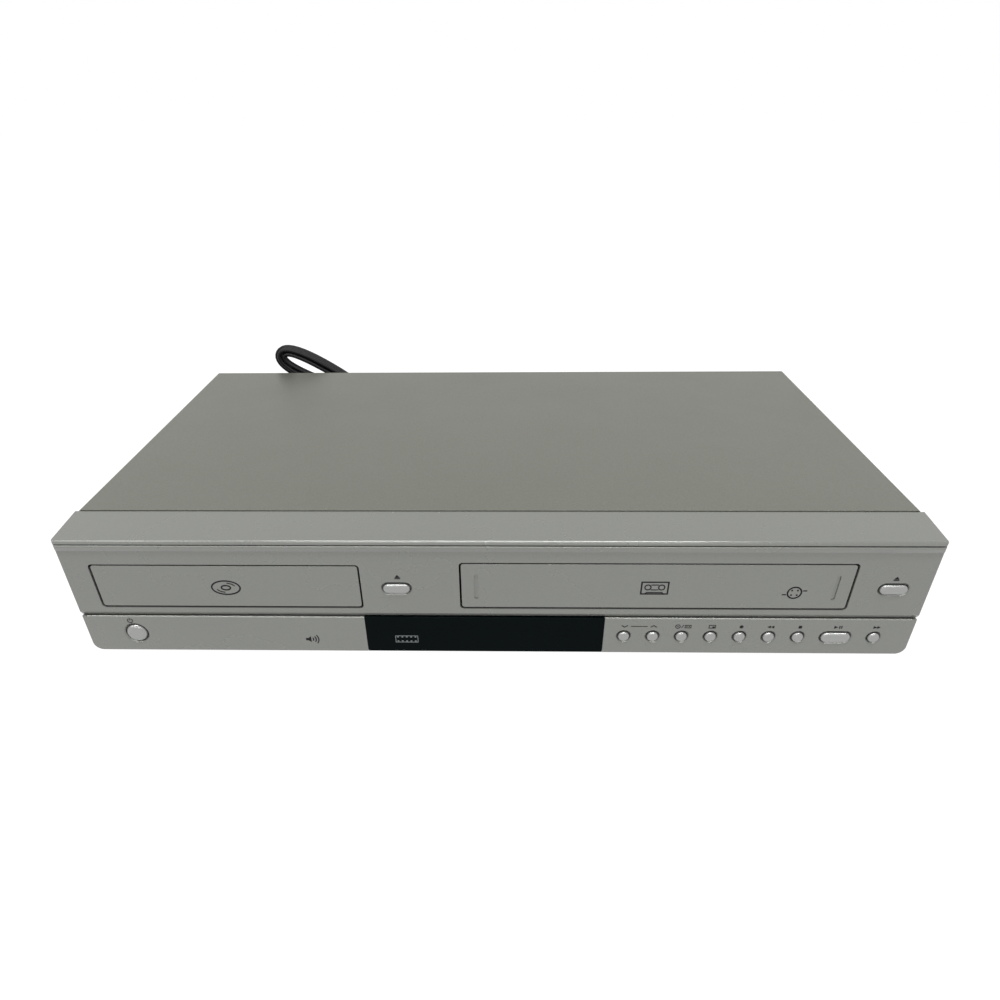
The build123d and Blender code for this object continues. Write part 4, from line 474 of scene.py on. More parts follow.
class Outline:
    """Flat marks across Y, gathered as faces in millimetres about their own middle.

    Arcs turn in steps of arc_step degrees, and least_mitre keeps sharp corners short. The marks
    start sunk into the face that they stand on.
    """

    arc_step = 9.0
    fewest_steps = 6
    least_mitre = 0.3
    sunk = 0.02

    def __init__(self) -> None:
        """Start with no faces."""
        self.faces: list[list[Point2]] = []

    def polygon(self, points: Sequence[Point2]) -> None:
        """Add one filled face."""
        self.faces.append(list(points))

    def bar(self, x0: float, x1: float, z0: float, z1: float) -> None:
        """Add an upright rectangle."""
        self.polygon([(x0, z0), (x1, z0), (x1, z1), (x0, z1)])

    def arrow(self, x: float, z: float, width: float, height: float, turn: float = 0.0) -> None:
        """Add a filled triangle that points up, turned by an angle in degrees.

        Args:
            x: its middle.
            z: its middle.
            width: the length of its base.
            height: its height above the base.
            turn: the angle, against the clock as seen from the front.
        """
        corners = [(-width / 2, -height / 2), (width / 2, -height / 2), (0.0, height / 2)]
        cos, sin = math.cos(math.radians(turn)), math.sin(math.radians(turn))
        self.polygon([(x + a * cos - b * sin, z + a * sin + b * cos) for a, b in corners])

    def disc(self, x: float, z: float, radius: float, count: int = 20) -> None:
        """Add a filled circle."""
        turns = [2 * math.pi * i / count for i in range(count)]
        self.polygon([(x + radius * math.cos(t), z + radius * math.sin(t)) for t in turns])

    def line(self, points: Sequence[Point2], width: float, closed: bool = False) -> None:
        """Add a stroke along points, with mitred corners.

        Args:
            points: the middle of the stroke.
            width: the stroke's width.
            closed: whether the last point joins the first.
        """
        count = len(points)
        left: list[Point2] = []
        right: list[Point2] = []
        for i, (x, z) in enumerate(points):
            before = points[i - 1] if closed or i else points[i]
            after = points[(i + 1) % count] if closed or i < count - 1 else points[i]
            if before == (x, z):
                before = (2 * x - after[0], 2 * z - after[1])
            if after == (x, z):
                after = (2 * x - before[0], 2 * z - before[1])
            a = Vector((x - before[0], z - before[1])).normalized()
            b = Vector((after[0] - x, after[1] - z)).normalized()
            across = Vector((-(a + b).y, (a + b).x)).normalized()
            reach = width / 2 / max(across.dot(Vector((-a.y, a.x))), self.least_mitre)
            left.append((x + across.x * reach, z + across.y * reach))
            right.append((x - across.x * reach, z - across.y * reach))
        last = count if closed else count - 1
        for i in range(last):
            j = (i + 1) % count
            self.polygon([right[i], right[j], left[j], left[i]])

    def arc(self, x: float, z: float, radius: Point2, start: float, end: float, width: float) -> None:
        """Add a stroke along part of an ellipse.

        Args:
            x: its middle.
            z: its middle.
            radius: its half width and half height.
            start: the first angle, in degrees.
            end: the last angle; a whole turn closes the stroke.
            width: the stroke's width.
        """
        whole = abs(end - start) >= 360
        count = max(self.fewest_steps, int(abs(end - start) / self.arc_step))
        steps = count if whole else count + 1
        turns = [math.radians(start + (end - start) * i / count) for i in range(steps)]
        points = [(x + radius[0] * math.cos(t), z + radius[1] * math.sin(t)) for t in turns]
        self.line(points, width, closed=whole)

    def frame(self, x: float, z: float, width: float, height: float, stroke: float) -> None:
        """Add a rectangle's outline."""
        a, b = width / 2 - stroke / 2, height / 2 - stroke / 2
        self.line([(x - a, z - b), (x + a, z - b), (x + a, z + b), (x - a, z + b)], stroke, closed=True)

    def piece(self, name: str, place: Point2, y: float, thick: float = 0.06) -> bpy.types.Object:
        """Make the marks one thin relief on a face across Y.

        Args:
            name: the piece's name.
            place: the middle of the marks on the face, in millimetres.
            y: the face, in millimetres.
            thick: how far the marks stand in front of it.

        Returns:
            The new object.
        """
        mesh = bpy.data.meshes.new(name)
        work = bmesh.new()
        back = (y + self.sunk) * MM
        for face in self.faces:
            places = [((place[0] + x) * MM, back, (place[1] + z) * MM) for x, z in face]
            work.faces.new([work.verts.new(corner) for corner in places])
        bmesh.ops.recalc_face_normals(work, faces=work.faces)
        for face in work.faces:
            if face.normal.y > 0:
                face.normal_flip()
        grown = bmesh.ops.extrude_face_region(work, geom=list(work.faces))
        front = [v for v in grown["geom"] if isinstance(v, bmesh.types.BMVert)]
        bmesh.ops.translate(work, verts=front, vec=(0.0, -(thick + self.sunk) * MM, 0.0))
        bmesh.ops.recalc_face_normals(work, faces=work.faces)
        work.to_mesh(mesh)
        work.free()
        return linked(name, mesh)


class Mark(Enum):
    """The plain marks printed beside the buttons, each as the shapes that an Outline draws."""

    # A triangle over a bar, and an open ring with a short bar
    EJECT = (("arrow", 0, 0.5, 2.8, 1.7), ("bar", -1.4, 1.4, -1.15, -0.6))
    POWER = (("arc", 0, 0, (1.3, 1.3), 120, 420, 0.45), ("bar", -0.22, 0.22, 0.2, 1.75))
    # Chevrons that point down and up
    DOWN = (("line", ((-1.6, 0.55), (0, -0.55), (1.6, 0.55)), 0.5),)
    UP = (("line", ((-1.6, -0.55), (0, 0.55), (1.6, -0.55)), 0.5),)
    # A disc and a cassette with a stroke between them, and a picture in a screen
    SOURCE = (
        ("arc", -2.6, 0, (1.15, 1.15), 0, 360, 0.42), ("disc", -2.6, 0, 0.34),
        ("line", ((-0.7, -1.0), (0.3, 1.0)), 0.38), ("frame", 2.6, 0, 3.4, 2.1, 0.4),
        ("disc", 2.0, 0, 0.34), ("disc", 3.2, 0, 0.34),
    )
    VIEW = (("frame", 0, 0, 3.6, 2.3, 0.42), ("bar", 0.1, 1.2, -0.7, 0.15))
    # A circle, two triangles, a square, a triangle with two bars, and two triangles
    RECORD = (("disc", 0, 0, 1.0),)
    REWIND = (("arrow", -0.95, 0, 1.8, 1.8, 90), ("arrow", 0.85, 0, 1.8, 1.8, 90))
    STOP = (("bar", -0.85, 0.85, -0.85, 0.85),)
    PLAY = (("arrow", -1.2, 0, 1.9, 1.9, -90), ("bar", 0.35, 0.9, -0.9, 0.9), ("bar", 1.35, 1.9, -0.9, 0.9))
    FORWARD = (("arrow", -0.85, 0, 1.8, 1.8, -90), ("arrow", 0.95, 0, 1.8, 1.8, -90))

    def outline(self) -> Outline:
        """Draw the mark about its own middle, in millimetres."""
        made = Outline()
        for shape, *values in self.value:
            getattr(made, shape)(*values)
        return made


@dataclass
class PrintedMarks:
    """The marks printed on the front: one over each button, and plain signs for disc and tape.

    Places are in millimetres: across, and up.
    """

    label_z: float = 26.8
    small_first_x: float = 67.6
    small_pitch: float = 14.98
    forward_x: float = 196.4
    play_x: float = 176.9
    open_place: Point2 = (-47.9, 57.7)
    eject_place: Point2 = (197.2, 57.6)
    power_place: Point2 = (-190.6, 29.0)
    disc_place: Point2 = (-135.3, 50.7)
    tape_place: Point2 = (80.2, 51.4)
    heads_place: Point2 = (149.6, 48.8)
    sound_place: Point2 = (-96.0, 17.0)
    film_place: Point2 = (-46.0, 17.4)
    stroke: float = 0.78
    light_stroke: float = 0.624
    fine_stroke: float = 0.546
    channel_gap: float = 3.2

    def build(self) -> None:
        """Print every mark."""
        row = (Mark.DOWN, Mark.UP, Mark.SOURCE, Mark.VIEW, Mark.RECORD, Mark.REWIND, Mark.STOP)
        for i, mark in enumerate(row):
            self.printed(mark, (self.small_first_x + i * self.small_pitch, self.label_z), TRIM_Y)
        self.printed(Mark.PLAY, (self.play_x, self.label_z), TRIM_Y)
        self.printed(Mark.FORWARD, (self.forward_x, self.label_z), TRIM_Y)
        self.printed(Mark.POWER, self.power_place, TRIM_Y)
        self.printed(Mark.EJECT, self.open_place, FACE_Y, "open")
        self.printed(Mark.EJECT, self.eject_place, FACE_Y, "eject")
        self.channel_line()
        self.disc_sign()
        self.tape_sign()
        self.heads_sign()
        self.sound_sign()
        self.window_sign()

    @staticmethod
    def stamp(made: Outline, name: str, place: Point2, y: float, body: str = "case") -> None:
        """Print drawn marks in ink.

        Args:
            made: the marks.
            name: the piece's name, without its first word.
            place: the middle of the marks on the face.
            y: the face.
            body: the name of the body that they ride on.
        """
        dressed(made.piece("mark_" + name, place, y), INK, body)

    def printed(self, mark: Mark, place: Point2, y: float, name: str = "") -> None:
        """Print one button's mark on the case."""
        self.stamp(mark.outline(), name or mark.name.lower(), place, y)

    def channel_line(self) -> None:
        """Print the short stroke that joins the two channel marks."""
        made = Outline()
        half = self.small_pitch / 2
        made.bar(-half + self.channel_gap, half - self.channel_gap, -0.2, 0.2)
        self.stamp(made, "channel", (self.small_first_x + half, self.label_z), TRIM_Y)

    def disc_sign(self) -> None:
        """Print a plain disc, seen aslant, on the tray's door."""
        made = Outline()
        made.arc(0, 0, (7.2, 4.2), 0, 360, self.stroke)
        made.arc(0, 0, (2.3, 1.35), 0, 360, self.stroke)
        for start in (20, 200):
            made.arc(0, 0, (5.0, 2.9), start, start + 60, self.fine_stroke)
        self.stamp(made, "disc", self.disc_place, DOOR_Y, "tray")

    def tape_sign(self) -> None:
        """Print a plain cassette on the cassette's door."""
        made = Outline()
        made.frame(0, 0, 14.0, 8.0, self.stroke)
        reel_x, reel_z, reel = 3.4, 0.4, 1.5
        for x in (-reel_x, reel_x):
            made.arc(x, reel_z, (reel, reel), 0, 360, self.light_stroke)
        for z in (reel_z + reel, reel_z - reel):
            made.line([(reel - reel_x, z), (reel_x - reel, z)], self.fine_stroke)
        made.line([(-4.6, -4.0), (-3.9, -2.7), (3.9, -2.7), (4.6, -4.0)], self.fine_stroke)
        self.stamp(made, "tape", self.tape_place, DOOR_Y, "cassette_door")

    def heads_sign(self) -> None:
        """Print a plain drum with its heads on the cassette's door."""
        made = Outline()
        made.arc(0, 0, (3.4, 3.4), 0, 360, self.stroke)
        for i in range(4):
            turn = math.radians(45 + 90 * i)
            made.disc(2.0 * math.cos(turn), 2.0 * math.sin(turn), 0.5, 12)
        made.line([(-6.0, -1.2), (-3.9, -1.2)], self.light_stroke)
        made.line([(3.9, 1.2), (6.0, 1.2)], self.light_stroke)
        self.stamp(made, "heads", self.heads_place, DOOR_Y, "cassette_door")

    def sound_sign(self) -> None:
        """Print a plain loudspeaker on the lower trim."""
        made = Outline()
        made.bar(-3.6, -2.2, -0.8, 0.8)
        made.polygon([(-2.2, -0.8), (-0.8, -2.0), (-0.8, 2.0), (-2.2, 0.8)])
        for i in range(3):
            radius = 1.6 + 1.4 * i
            made.arc(-1.2, 0, (radius, radius), -38, 38, self.light_stroke)
        self.stamp(made, "sound", self.sound_place, TRIM_Y)

    def window_sign(self) -> None:
        """Print a faint strip of film on the display window."""
        made = Outline()
        made.frame(0, 0, 12.0, 4.6, 0.3)
        for i in range(5):
            x = -4.6 + 2.3 * i
            for low, high in ((1.1, 1.7), (-1.7, -1.1)):
                made.bar(x - 0.45, x + 0.45, low, high)
        piece = made.piece("mark_film", self.film_place, TRIM_Y + 0.1)
        dressed(piece, WINDOW_INK, "case")


def annulus(work: bmesh.types.BMesh, middle: Point3, radii: Point2, ends: Point2, count: int = 40) -> None:
    """Add a tube along Y to a mesh, in millimetres.

    Args:
        work: the mesh in the making.
        middle: a point of its axis.
        radii: the inner and outer radius.
        ends: where it starts and ends along Y.
        count: the number of sides.
    """
    corners = []
    for i in range(count):
        turn = 2 * math.pi * i / count
        row = []
        for one, two in ((0, 0), (1, 0), (1, 1), (0, 1)):
            x = middle[0] + radii[one] * math.cos(turn)
            z = middle[2] + radii[one] * math.sin(turn)
            row.append(work.verts.new((x * MM, ends[two] * MM, z * MM)))
        corners.append(row)
    for i in range(count):
        a, b = corners[i], corners[(i + 1) % count]
        for k in range(4):
            work.faces.new((a[k], b[k], b[(k + 1) % 4], a[(k + 1) % 4]))


def finished(
    work: bmesh.types.BMesh, name: str, bevel: float = 0.0, smooth: float = 40.0, sharp: float = 30.0
) -> bpy.types.Object:
    """Turn a mesh in the making into an object with soft edges.

    Args:
        work: the mesh in the making.
        name: the piece's name.
        bevel: the width of its edges' rounding, in millimetres.
        smooth: the angle up to which faces shade smoothly, in degrees.
        sharp: the angle from which edges are rounded, in degrees.

    Returns:
        The new object.
    """
    bmesh.ops.recalc_face_normals(work, faces=work.faces)
    if bevel:
        edges = [e for e in work.edges if e.calc_face_angle(0.0) > math.radians(sharp)]
        bmesh.ops.bevel(
            work, geom=edges, offset=bevel * MM, segments=2, profile=0.5, affect="EDGES", clamp_overlap=True
        )
    for face in work.faces:
        face.smooth = True
    for edge in work.edges:
        edge.smooth = edge.calc_face_angle(0.0) < math.radians(smooth)
    mesh = bpy.data.meshes.new(name)
    work.to_mesh(mesh)
    work.free()
    return linked(name, mesh)


class SignalColor(Enum):
    """The colours that tell the round sockets apart."""

    YELLOW = (0.72, 0.5, 0.03)
    WHITE = (0.72, 0.72, 0.68)
    RED = (0.5, 0.02, 0.02)
    GREEN = (0.03, 0.3, 0.08)
    BLUE = (0.02, 0.1, 0.42)


@dataclass
class RearSockets:
    """The metal sleeves and coloured collars of the round sockets, and the aerial threads.

    Lengths are in millimetres. Starts and ends of the pieces are measured from the panel.
    """

    columns: int = 5
    first_x: float = -112.0
    pitch: float = 16.0
    rows_z: Point2 = (30.0, 48.0)
    panel_y: float = 111.7
    lift: float = 0.05
    barrel: float = 4.2
    sleeve_start: float = 0.3
    sleeve_bore: float = 2.9
    sleeve_wall: float = 0.12
    sleeve_past: float = 0.15
    collar_room: float = 0.15
    collar_radius: float = 6.5
    collar_end: float = 1.1
    rim_radii: Point2 = (1.75, 2.85)
    rim_depth: float = 1.0
    aerial_x: float = 196.0
    aerial_rows: Point2 = (32.0, 54.0)
    aerial_barrel: float = 4.7
    aerial_bore: float = 1.3
    threads_start: float = 1.8
    thread_count: int = 7
    thread_pitch: float = 0.85
    thread_width: float = 0.45
    thread_height: float = 0.22
    nut_radius: float = 6.6
    nut_end: float = 1.5
    nut_overlap: float = 0.1
    lower: tuple[SignalColor, ...] = (
        SignalColor.YELLOW, SignalColor.WHITE, SignalColor.RED, SignalColor.WHITE, SignalColor.RED,
    )
    upper: tuple[SignalColor, ...] = (
        SignalColor.YELLOW, SignalColor.GREEN, SignalColor.BLUE, SignalColor.RED, SignalColor.YELLOW,
    )

    def build(self) -> None:
        """Build the sleeves, the collars and the threads."""
        self.sleeves()
        for z, colors in zip(self.rows_z, (self.lower, self.upper)):
            for color in SignalColor:
                columns = [i for i, found in enumerate(colors) if found is color]
                if columns:
                    self.collars(columns, z, color)
        self.threads()

    def sleeves(self) -> None:
        """Build the bright sleeve round each socket's barrel."""
        work = bmesh.new()
        radii = (self.sleeve_bore, self.barrel + self.sleeve_wall)
        ends = (self.panel_y + self.sleeve_start, REAR_SOCKET_Y + self.sleeve_past)
        for z in self.rows_z:
            for i in range(self.columns):
                annulus(work, (self.first_x + i * self.pitch, 0.0, z), radii, ends)
        piece = finished(work, "socket_sleeves", bevel=0.12)
        dressed(piece, SHAFT, "case")

    def collars(self, columns: Iterable[int], z: float, color: SignalColor) -> None:
        """Build the coloured collars of one colour in one row.

        Args:
            columns: which sockets have it.
            z: the height of the row.
            color: their colour.
        """
        work = bmesh.new()
        radii = (self.barrel + self.collar_room, self.collar_radius)
        ends = (self.panel_y + self.lift, self.panel_y + self.collar_end)
        rim_ends = (REAR_SOCKET_Y - self.rim_depth, REAR_SOCKET_Y + self.lift)
        for i in columns:
            middle = (self.first_x + i * self.pitch, 0.0, z)
            annulus(work, middle, radii, ends)
            annulus(work, middle, self.rim_radii, rim_ends)
        name = color.name.lower()
        finish = Finish(
            f"signal_{name}", color.value, roughness=0.34, grain_scale=1500.0, grain_bump=0.000006
        )
        piece = finished(work, f"socket_{name}_{int(z)}", bevel=0.15)
        dressed(piece, finish, "case")

    def threads(self) -> None:
        """Build the threads and the nut of each aerial socket."""
        work = bmesh.new()
        radii = (self.aerial_bore, self.aerial_barrel + self.thread_height)
        nut = (self.aerial_barrel - self.nut_overlap, self.nut_radius)
        nut_ends = (self.panel_y + self.lift, self.panel_y + self.nut_end)
        for z in self.aerial_rows:
            middle = (self.aerial_x, 0.0, z)
            for i in range(self.thread_count):
                y = self.panel_y + self.threads_start + self.thread_pitch * i
                annulus(work, middle, radii, (y, y + self.thread_width))
            annulus(work, middle, nut, nut_ends, count=6)
        piece = finished(work, "aerial_threads", bevel=0.1)
        dressed(piece, SHAFT, "case")


def falling(slope: float) -> Vector:
    """Give the direction that falls to the right at a slope in degrees, across and up."""
    return Vector((math.cos(math.radians(slope)), -math.sin(math.radians(slope))))


def moved(point: Vector, way: Vector, ahead: float, across: float) -> Vector:
    """Move a point along a direction, and across it to the upper right."""
    return point + way * ahead + Vector((-way.y, way.x)) * across


@dataclass
class PowerCord:
    """The flat two-core lead: from its strain relief over the floor to a tied hank and its tail.

    Lengths are in millimetres. The hank leans on the back of the player, and its top fold shows.
    """

    width: float = 5.6
    thick: float = 3.0
    length: float = 1651.5
    exit_place: Point3 = (-186.0, 139.0, 32.0)
    near_y: float = 123.8
    layer_pitch: float = 6.2
    fold_half: float = 6.1
    nest_pitch: float = 3.8
    tail_pitch: float = 4.8
    drawn_in: float = 4.2
    top: Point2 = (-158.2, 88.5)
    half_length: float = 56.0
    upper_slope: float = 28.0
    lower_slope: float = 52.0
    floor_z: float = 1.8
    landing_run: float = 14.5
    landing_end: float = 12.0
    tail_length: float = 18.0
    tail_step: float = 9.0
    curve_steps: int = 10
    shortest_step: float = 0.1
    round_steps: int = 12
    lead: tuple[Point3, ...] = (
        (-186.0, 139.0, 32.0), (-186.0, 152.0, 32.0), (-181.0, 166.0, 23.0), (-168.0, 177.0, 11.0),
        (-148.0, 183.0, 3.2), (-118.0, 185.5, 1.8), (-78.0, 184.0, 1.8), (-36.0, 186.0, 1.8),
        (8.0, 184.5, 1.8), (52.6, 185.0, 1.8), (70.5, 167.1, 1.8), (70.5, 141.9, 1.8),
        (52.6, 124.6, 1.8), (14.0, 125.0, 1.8), (-18.0, 124.2, 1.8),
    )
    tail: tuple[Point3, ...] = (
        (-26.0, 137.5, 1.8), (-12.0, 147.5, 4.0), (2.0, 150.0, 7.8), (12.0, 150.0, 7.8),
    )

    def landing(self, waist: Vector, low: Vector) -> tuple[Vector, Vector, Vector]:
        """Find where a run meets the floor.

        Args:
            waist: the run's point at the tie.
            low: a point further down the run.

        Returns:
            The corner above the floor, the corner on the floor, and the run's direction.
        """
        way = (low - waist).normalized()
        half_turn = math.asin(-way.y) / 2
        corner_z = self.floor_z + self.landing_run * math.sin(half_turn)
        corner = low + way * ((low.y - corner_z) / -way.y)
        corner.y = corner_z
        floor = Vector((corner.x + self.landing_run * math.cos(half_turn), self.floor_z))
        return corner, floor, way

    def hank(self) -> tuple[list[Point3], list[Point3]]:
        """Work out the hank's turns.

        Returns:
            The last points of the lead, up to the hank, and the points of the hank and its tail.
        """
        upper, lower = falling(self.upper_slope), falling(self.lower_slope)
        middle = falling((self.upper_slope + self.lower_slope) / 2)
        first, second = self.fold_half, self.fold_half + self.nest_pitch
        third = second + self.tail_pitch
        across = [second, -second, first, -first, first, -second, second, -third]
        top = Vector(self.top)
        waist = moved(top, upper, self.half_length, 0.0)
        bottom = moved(waist, lower, self.half_length, 0.0)
        layers = [self.near_y] * 4 + [self.near_y + self.layer_pitch] * 4
        bend = math.radians((self.lower_slope - self.upper_slope) / 2)
        drawn = [math.copysign(abs(a) - self.drawn_in, a) / math.cos(bend) for a in across]
        waists = [moved(waist, middle, 0.0, side) for side in drawn]
        corner, floor, way = self.landing(waists[0], moved(bottom, lower, 0.0, second))
        start = corner - way * self.landing_end
        lead_end = [(p.x, self.near_y, p.y) for p in (floor, corner, start)]
        points = []
        for i, place in enumerate(across):
            points.append((waists[i].x, layers[i], waists[i].y))
            if i == len(across) - 1:
                break
            half = abs(place - across[i + 1]) / 2
            rising = i % 2 == 0
            end, way = (top, upper) if rising else (bottom, lower)
            for side in (place, across[i + 1]):
                spot = moved(end, way, -half if rising else half, side)
                points.append((spot.x, layers[i + 1], spot.y))
        far = layers[-1]
        corner, floor, _ = self.landing(waists[-1], moved(bottom, lower, 0.0, -third))
        points += [(corner.x, far, corner.y), (floor.x, far, floor.y)]
        for ahead in (self.tail_length, self.tail_length + self.tail_step):
            points.append((floor.x + ahead, far, self.floor_z))
        return lead_end, points

    def route(self) -> tuple[list[Vector], int]:
        """Follow the cord's smooth line.

        Returns:
            Points along it, in metres, and the number of the point where the hank begins.
        """
        lead_end, hank = self.hank()
        places = [*self.lead, *lead_end, *hank, *self.tail]
        curve = bpy.data.curves.new("cord_route", "CURVE")
        curve.dimensions = "3D"
        curve.resolution_u = self.curve_steps
        spline = curve.splines.new("NURBS")
        spline.points.add(len(places) - 1)
        for point, place in zip(spline.points, places):
            point.co = (*(v * MM for v in place), 1.0)
        spline.order_u = 3
        spline.use_endpoint_u = True
        guide = linked("cord_route", curve)
        bpy.context.view_layer.update()
        evaluated = guide.evaluated_get(bpy.context.evaluated_depsgraph_get())
        line = bpy.data.meshes.new_from_object(evaluated)
        points = [line.vertices[0].co.copy()]
        for vertex in line.vertices:
            if (vertex.co - points[-1]).length > self.shortest_step * MM:
                points.append(vertex.co.copy())
        bpy.data.objects.remove(guide)
        bpy.data.curves.remove(curve)
        bpy.data.meshes.remove(line)
        begin = Vector(places[len(self.lead) + 2]) * MM
        nearest = min(range(len(points)), key=lambda i: (points[i] - begin).length)
        return points, nearest

    def section(self) -> list[Point2]:
        """Give the outline of two cores side by side, with a groove between them."""
        radius = self.thick / 2
        centre = (self.width - self.thick) / 2
        seam = 180 - math.degrees(math.acos(centre / radius))
        steps = self.round_steps
        right = [math.radians(-seam + 2 * seam * i / steps) for i in range(steps + 1)]
        left = [math.radians(180 - seam + 2 * seam * i / steps) for i in range(1, steps)]
        points = [(centre + radius * math.cos(t), radius * math.sin(t)) for t in right]
        return points + [(-centre + radius * math.cos(t), radius * math.sin(t)) for t in left]

    def frames(self, points: list[Vector], begin: int) -> list[tuple[Vector, Vector]]:
        """Carry the cord's broad side along its line without twisting it.

        Args:
            points: the line.
            begin: the point where the broad side lies along Y.

        Returns:
            The directions of the broad and the narrow side at each point.
        """
        count = len(points)
        around = ((points[max(i - 1, 0)], points[min(i + 1, count - 1)]) for i in range(count))
        ways = [(after - before).normalized() for before, after in around]
        broad: list[Vector] = [Vector()] * count
        side = Vector((0.0, 1.0, 0.0))
        broad[begin] = (side - ways[begin] * side.dot(ways[begin])).normalized()
        for order in (range(begin + 1, count), range(begin - 1, -1, -1)):
            step = order.step
            for i in order:
                turned = ways[i - step].rotation_difference(ways[i]) @ broad[i - step]
                broad[i] = (turned - ways[i] * turned.dot(ways[i])).normalized()
        return [(b, way.cross(b).normalized()) for b, way in zip(broad, ways)]

    def build(self, nodes: dict[str, bpy.types.Object]) -> None:
        """Args:
            nodes: the frame's nodes; not used.
        """
        points, begin = self.route()
        section = self.section()
        work = bmesh.new()
        rings = []
        for point, (broad, narrow) in zip(points, self.frames(points, begin)):
            rings.append([work.verts.new(point + (broad * a + narrow * b) * MM) for a, b in section])
        size = len(section)
        for one, two in zip(rings, rings[1:]):
            for k in range(size):
                work.faces.new((one[k], one[(k + 1) % size], two[(k + 1) % size], two[k]))
        work.faces.new(rings[0])
        work.faces.new(rings[-1])
        lead = finished(work, "power_lead", smooth=50.0)
        dressed(lead, CORD, "case")
        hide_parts("power_cord", "cord_hank")


@dataclass
class Frame:
    """The player's own pieces, each in the finish of its material slot.

    Lengths are in millimetres, angles in degrees.
    """

    nodes: dict[str, bpy.types.Object]
    slots: dict[str, str]
    finishes: dict[str, Finish] = field(default_factory=lambda: {f.name: f for f in FINISHES})
    edge: float = 0.16
    weld_reach: float = 0.002
    sharp: float = 38.0
    soft_edged: tuple[str, ...] = (
        "top_cover", "front_bezel", "lower_trim", "tray_door", "cassette_door", "display_window",
        "disc_tray", "rear_panel",
    )

    def dress(self) -> None:
        """Give every piece its finish, and round the edges of those that show."""
        for name, piece in self.nodes.items():
            finish = self.finishes[self.slots[name]]
            piece.data.materials.clear()
            piece.data.materials.append(finish.build())
            if name in self.soft_edged:
                self.round_edges(piece)
            LOG.info("%s has the finish %s", name, finish.name)

    def round_edges(self, piece: bpy.types.Object) -> None:
        """Join the split edges of a piece and round the sharp ones."""
        weld = piece.modifiers.new("weld", "WELD")
        weld.merge_threshold = self.weld_reach * MM
        bevel = piece.modifiers.new("edges", "BEVEL")
        bevel.limit_method = "ANGLE"
        bevel.angle_limit = math.radians(self.sharp)
        bevel.width = self.edge * MM
        bevel.segments = 2
        bevel.harden_normals = True


@dataclass(frozen=True)
class Lamp:
    """A soft rectangular lamp: lengths in metres, its power in watts."""

    name: str
    place: Point3
    target: Point3
    size: Point2
    power: float

    def hang(self) -> None:
        """Hang the lamp, turned to its target."""
        data = bpy.data.lights.new(self.name, "AREA")
        data.shape = "RECTANGLE"
        data.size, data.size_y = self.size
        data.energy = self.power
        lamp = linked(self.name, data)
        place = Vector(self.place)
        turned = (Vector(self.target) - place).normalized().to_track_quat("-Z", "Y")
        lamp.matrix_world = Matrix.Translation(place) @ turned.to_matrix().to_4x4()


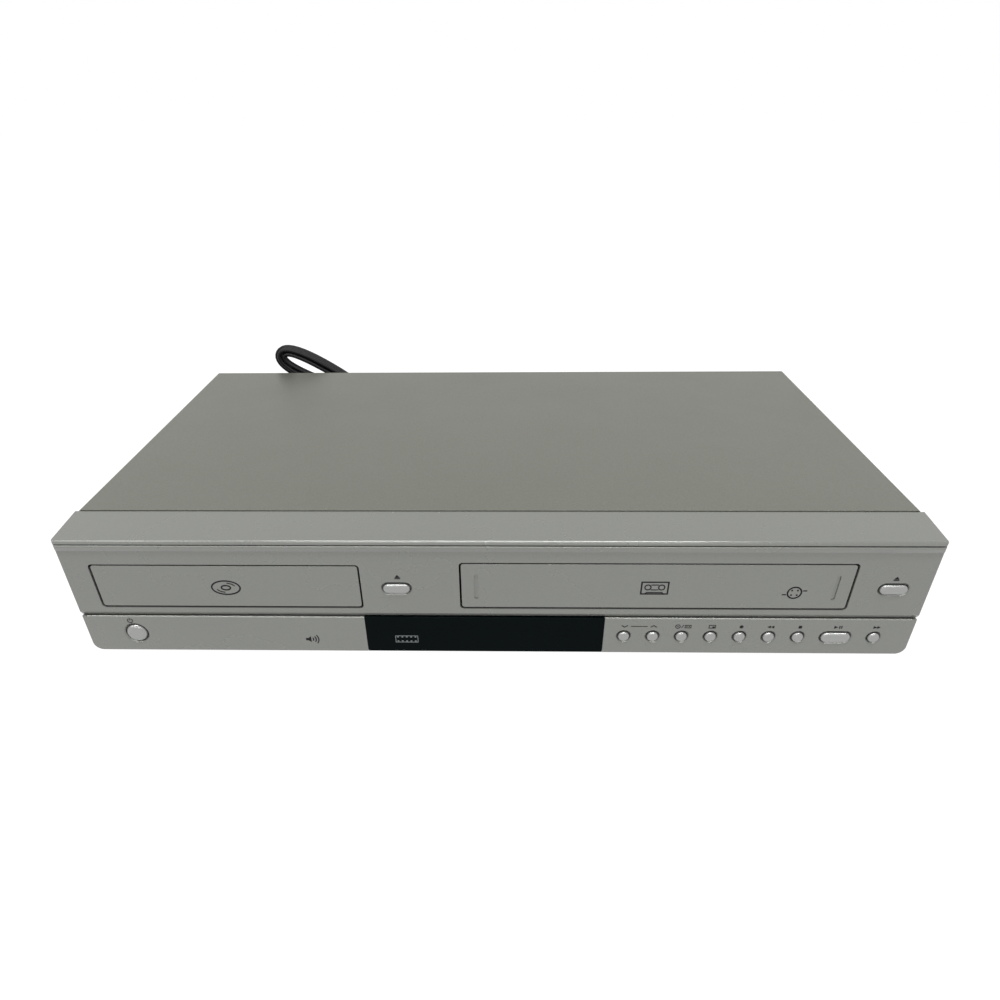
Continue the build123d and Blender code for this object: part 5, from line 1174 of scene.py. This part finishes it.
@dataclass
class Studio:
    """A pale floor, soft light from above and in front, and the camera of the photograph.

    Lengths are in metres, angles in degrees.
    """

    camera_place: Point3 = (0.0055, -0.3999, 0.2611)
    pitch: float = 32.29
    yaw: float = -1.58
    roll: float = -0.74
    lens: float = 25.18
    sensor: float = 36.0
    shift: Point2 = (0.0116, 0.0338)
    world_strength: float = 0.25
    floor_size: float = 12.0
    floor_glow: float = 1.12
    floor_share: float = 0.88
    nearest: float = 0.01
    white: tuple[float, ...] = (1.0, 1.0, 1.0, 1.0)
    pale: tuple[float, ...] = (0.8, 0.8, 0.8, 1.0)
    daylight: tuple[float, ...] = (0.98, 0.99, 1.0, 1.0)
    lamps: tuple[Lamp, ...] = (
        Lamp("key", (0.05, -0.45, 1.6), target=(0.0, -0.02, 0.05), size=(2.0, 0.14), power=28.0),
        Lamp("front", (0.05, -1.5, 1.15), target=(0.0, -0.1, 0.05), size=(2.0, 0.09), power=7.0),
        Lamp("left", (-1.3, -0.7, 1.0), target=(0.0, 0.0, 0.05), size=(0.6, 0.6), power=3.5),
    )

    def build(self) -> None:
        """Build the camera, the floor, the world and the lamps."""
        self.camera()
        self.floor()
        self.world()
        for lamp in self.lamps:
            lamp.hang()

    def camera(self) -> None:
        """Place the camera."""
        yaw, pitch, roll = (math.radians(v) for v in (self.yaw, self.pitch, self.roll))
        level = Vector((math.sin(yaw), math.cos(yaw), 0.0))
        ahead = level * math.cos(pitch) - Vector((0.0, 0.0, math.sin(pitch)))
        right = Vector((math.cos(yaw), -math.sin(yaw), 0.0))
        up = right.cross(ahead)
        turned_right = right * math.cos(roll) + up * math.sin(roll)
        turned_up = up * math.cos(roll) - right * math.sin(roll)
        data = bpy.data.cameras.new("camera")
        data.sensor_width = self.sensor
        data.lens = self.lens
        data.shift_x, data.shift_y = self.shift
        data.clip_start = self.nearest
        camera = linked("camera", data)
        basis = Matrix((turned_right, turned_up, -ahead)).transposed()
        camera.matrix_world = Matrix.Translation(Vector(self.camera_place)) @ basis.to_4x4()
        bpy.context.scene.camera = camera

    def floor(self) -> None:
        """Lay the pale floor, white to the camera but for the player's shadow."""
        mesh = bpy.data.meshes.new("floor")
        half = self.floor_size / 2
        corners = [(-half, -half, 0.0), (half, -half, 0.0), (half, half, 0.0), (-half, half, 0.0)]
        mesh.from_pydata(corners, [], [(0, 1, 2, 3)])
        floor = linked("floor", mesh)
        material = bpy.data.materials.new("floor")
        tree = fresh_tree(material)
        shade = tree.add("NodeBsdfDiffuse", {"Color": self.pale})
        glow = tree.add("NodeEmission", {"Color": self.white, "Strength": self.floor_glow})
        share = tree.add("NodeMath", {0: self.seen(tree), 1: self.floor_share}, operation="MULTIPLY")
        mix = tree.add("NodeMixShader", {0: share.outputs[0], 1: shade.outputs[0], 2: glow.outputs[0]})
        tree.add("NodeOutputMaterial", {"Surface": mix.outputs[0]})
        mesh.materials.append(material)

    @staticmethod
    def seen(tree: Tree) -> Socket:
        """Give one for rays from the camera, and for those that metal or glass sends on.

        Args:
            tree: the nodes of the floor or the world.

        Returns:
            The socket that carries it.
        """
        rays = tree.add("NodeLightPath").outputs
        found = rays["Is Camera Ray"]
        for kind in ("Is Glossy Ray", "Is Transmission Ray"):
            found = tree.add("NodeMath", {0: found, 1: rays[kind]}, operation="MAXIMUM").outputs[0]
        return found

    def world(self) -> None:
        """Light the scene evenly, and show white behind the player."""
        world = bpy.data.worlds.new("studio")
        tree = fresh_tree(world)
        soft = tree.add("NodeBackground", {"Color": self.daylight, "Strength": self.world_strength})
        white = tree.add("NodeBackground", {"Color": self.white, "Strength": 1.0})
        mix = tree.add("NodeMixShader", {0: self.seen(tree), 1: soft.outputs[0], 2: white.outputs[0]})
        tree.add("NodeOutputWorld", {"Surface": mix.outputs[0]})
        bpy.context.scene.world = world


def main() -> None:
    """Build the looks of the player around its frame."""
    logging.basicConfig(level=logging.INFO, format="%(name)s: %(message)s")
    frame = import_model()
    bpy.context.scene.view_settings.view_transform = "Standard"
    slots = {row["node"]: row["material_slot"] for row in frame["record"]["subparts"]}
    Frame(frame["nodes"], slots).dress()
    PrintedMarks().build()
    RearSockets().build()
    PowerCord().build(frame["nodes"])
    Studio().build()


if __name__ == "__main__":
    main()
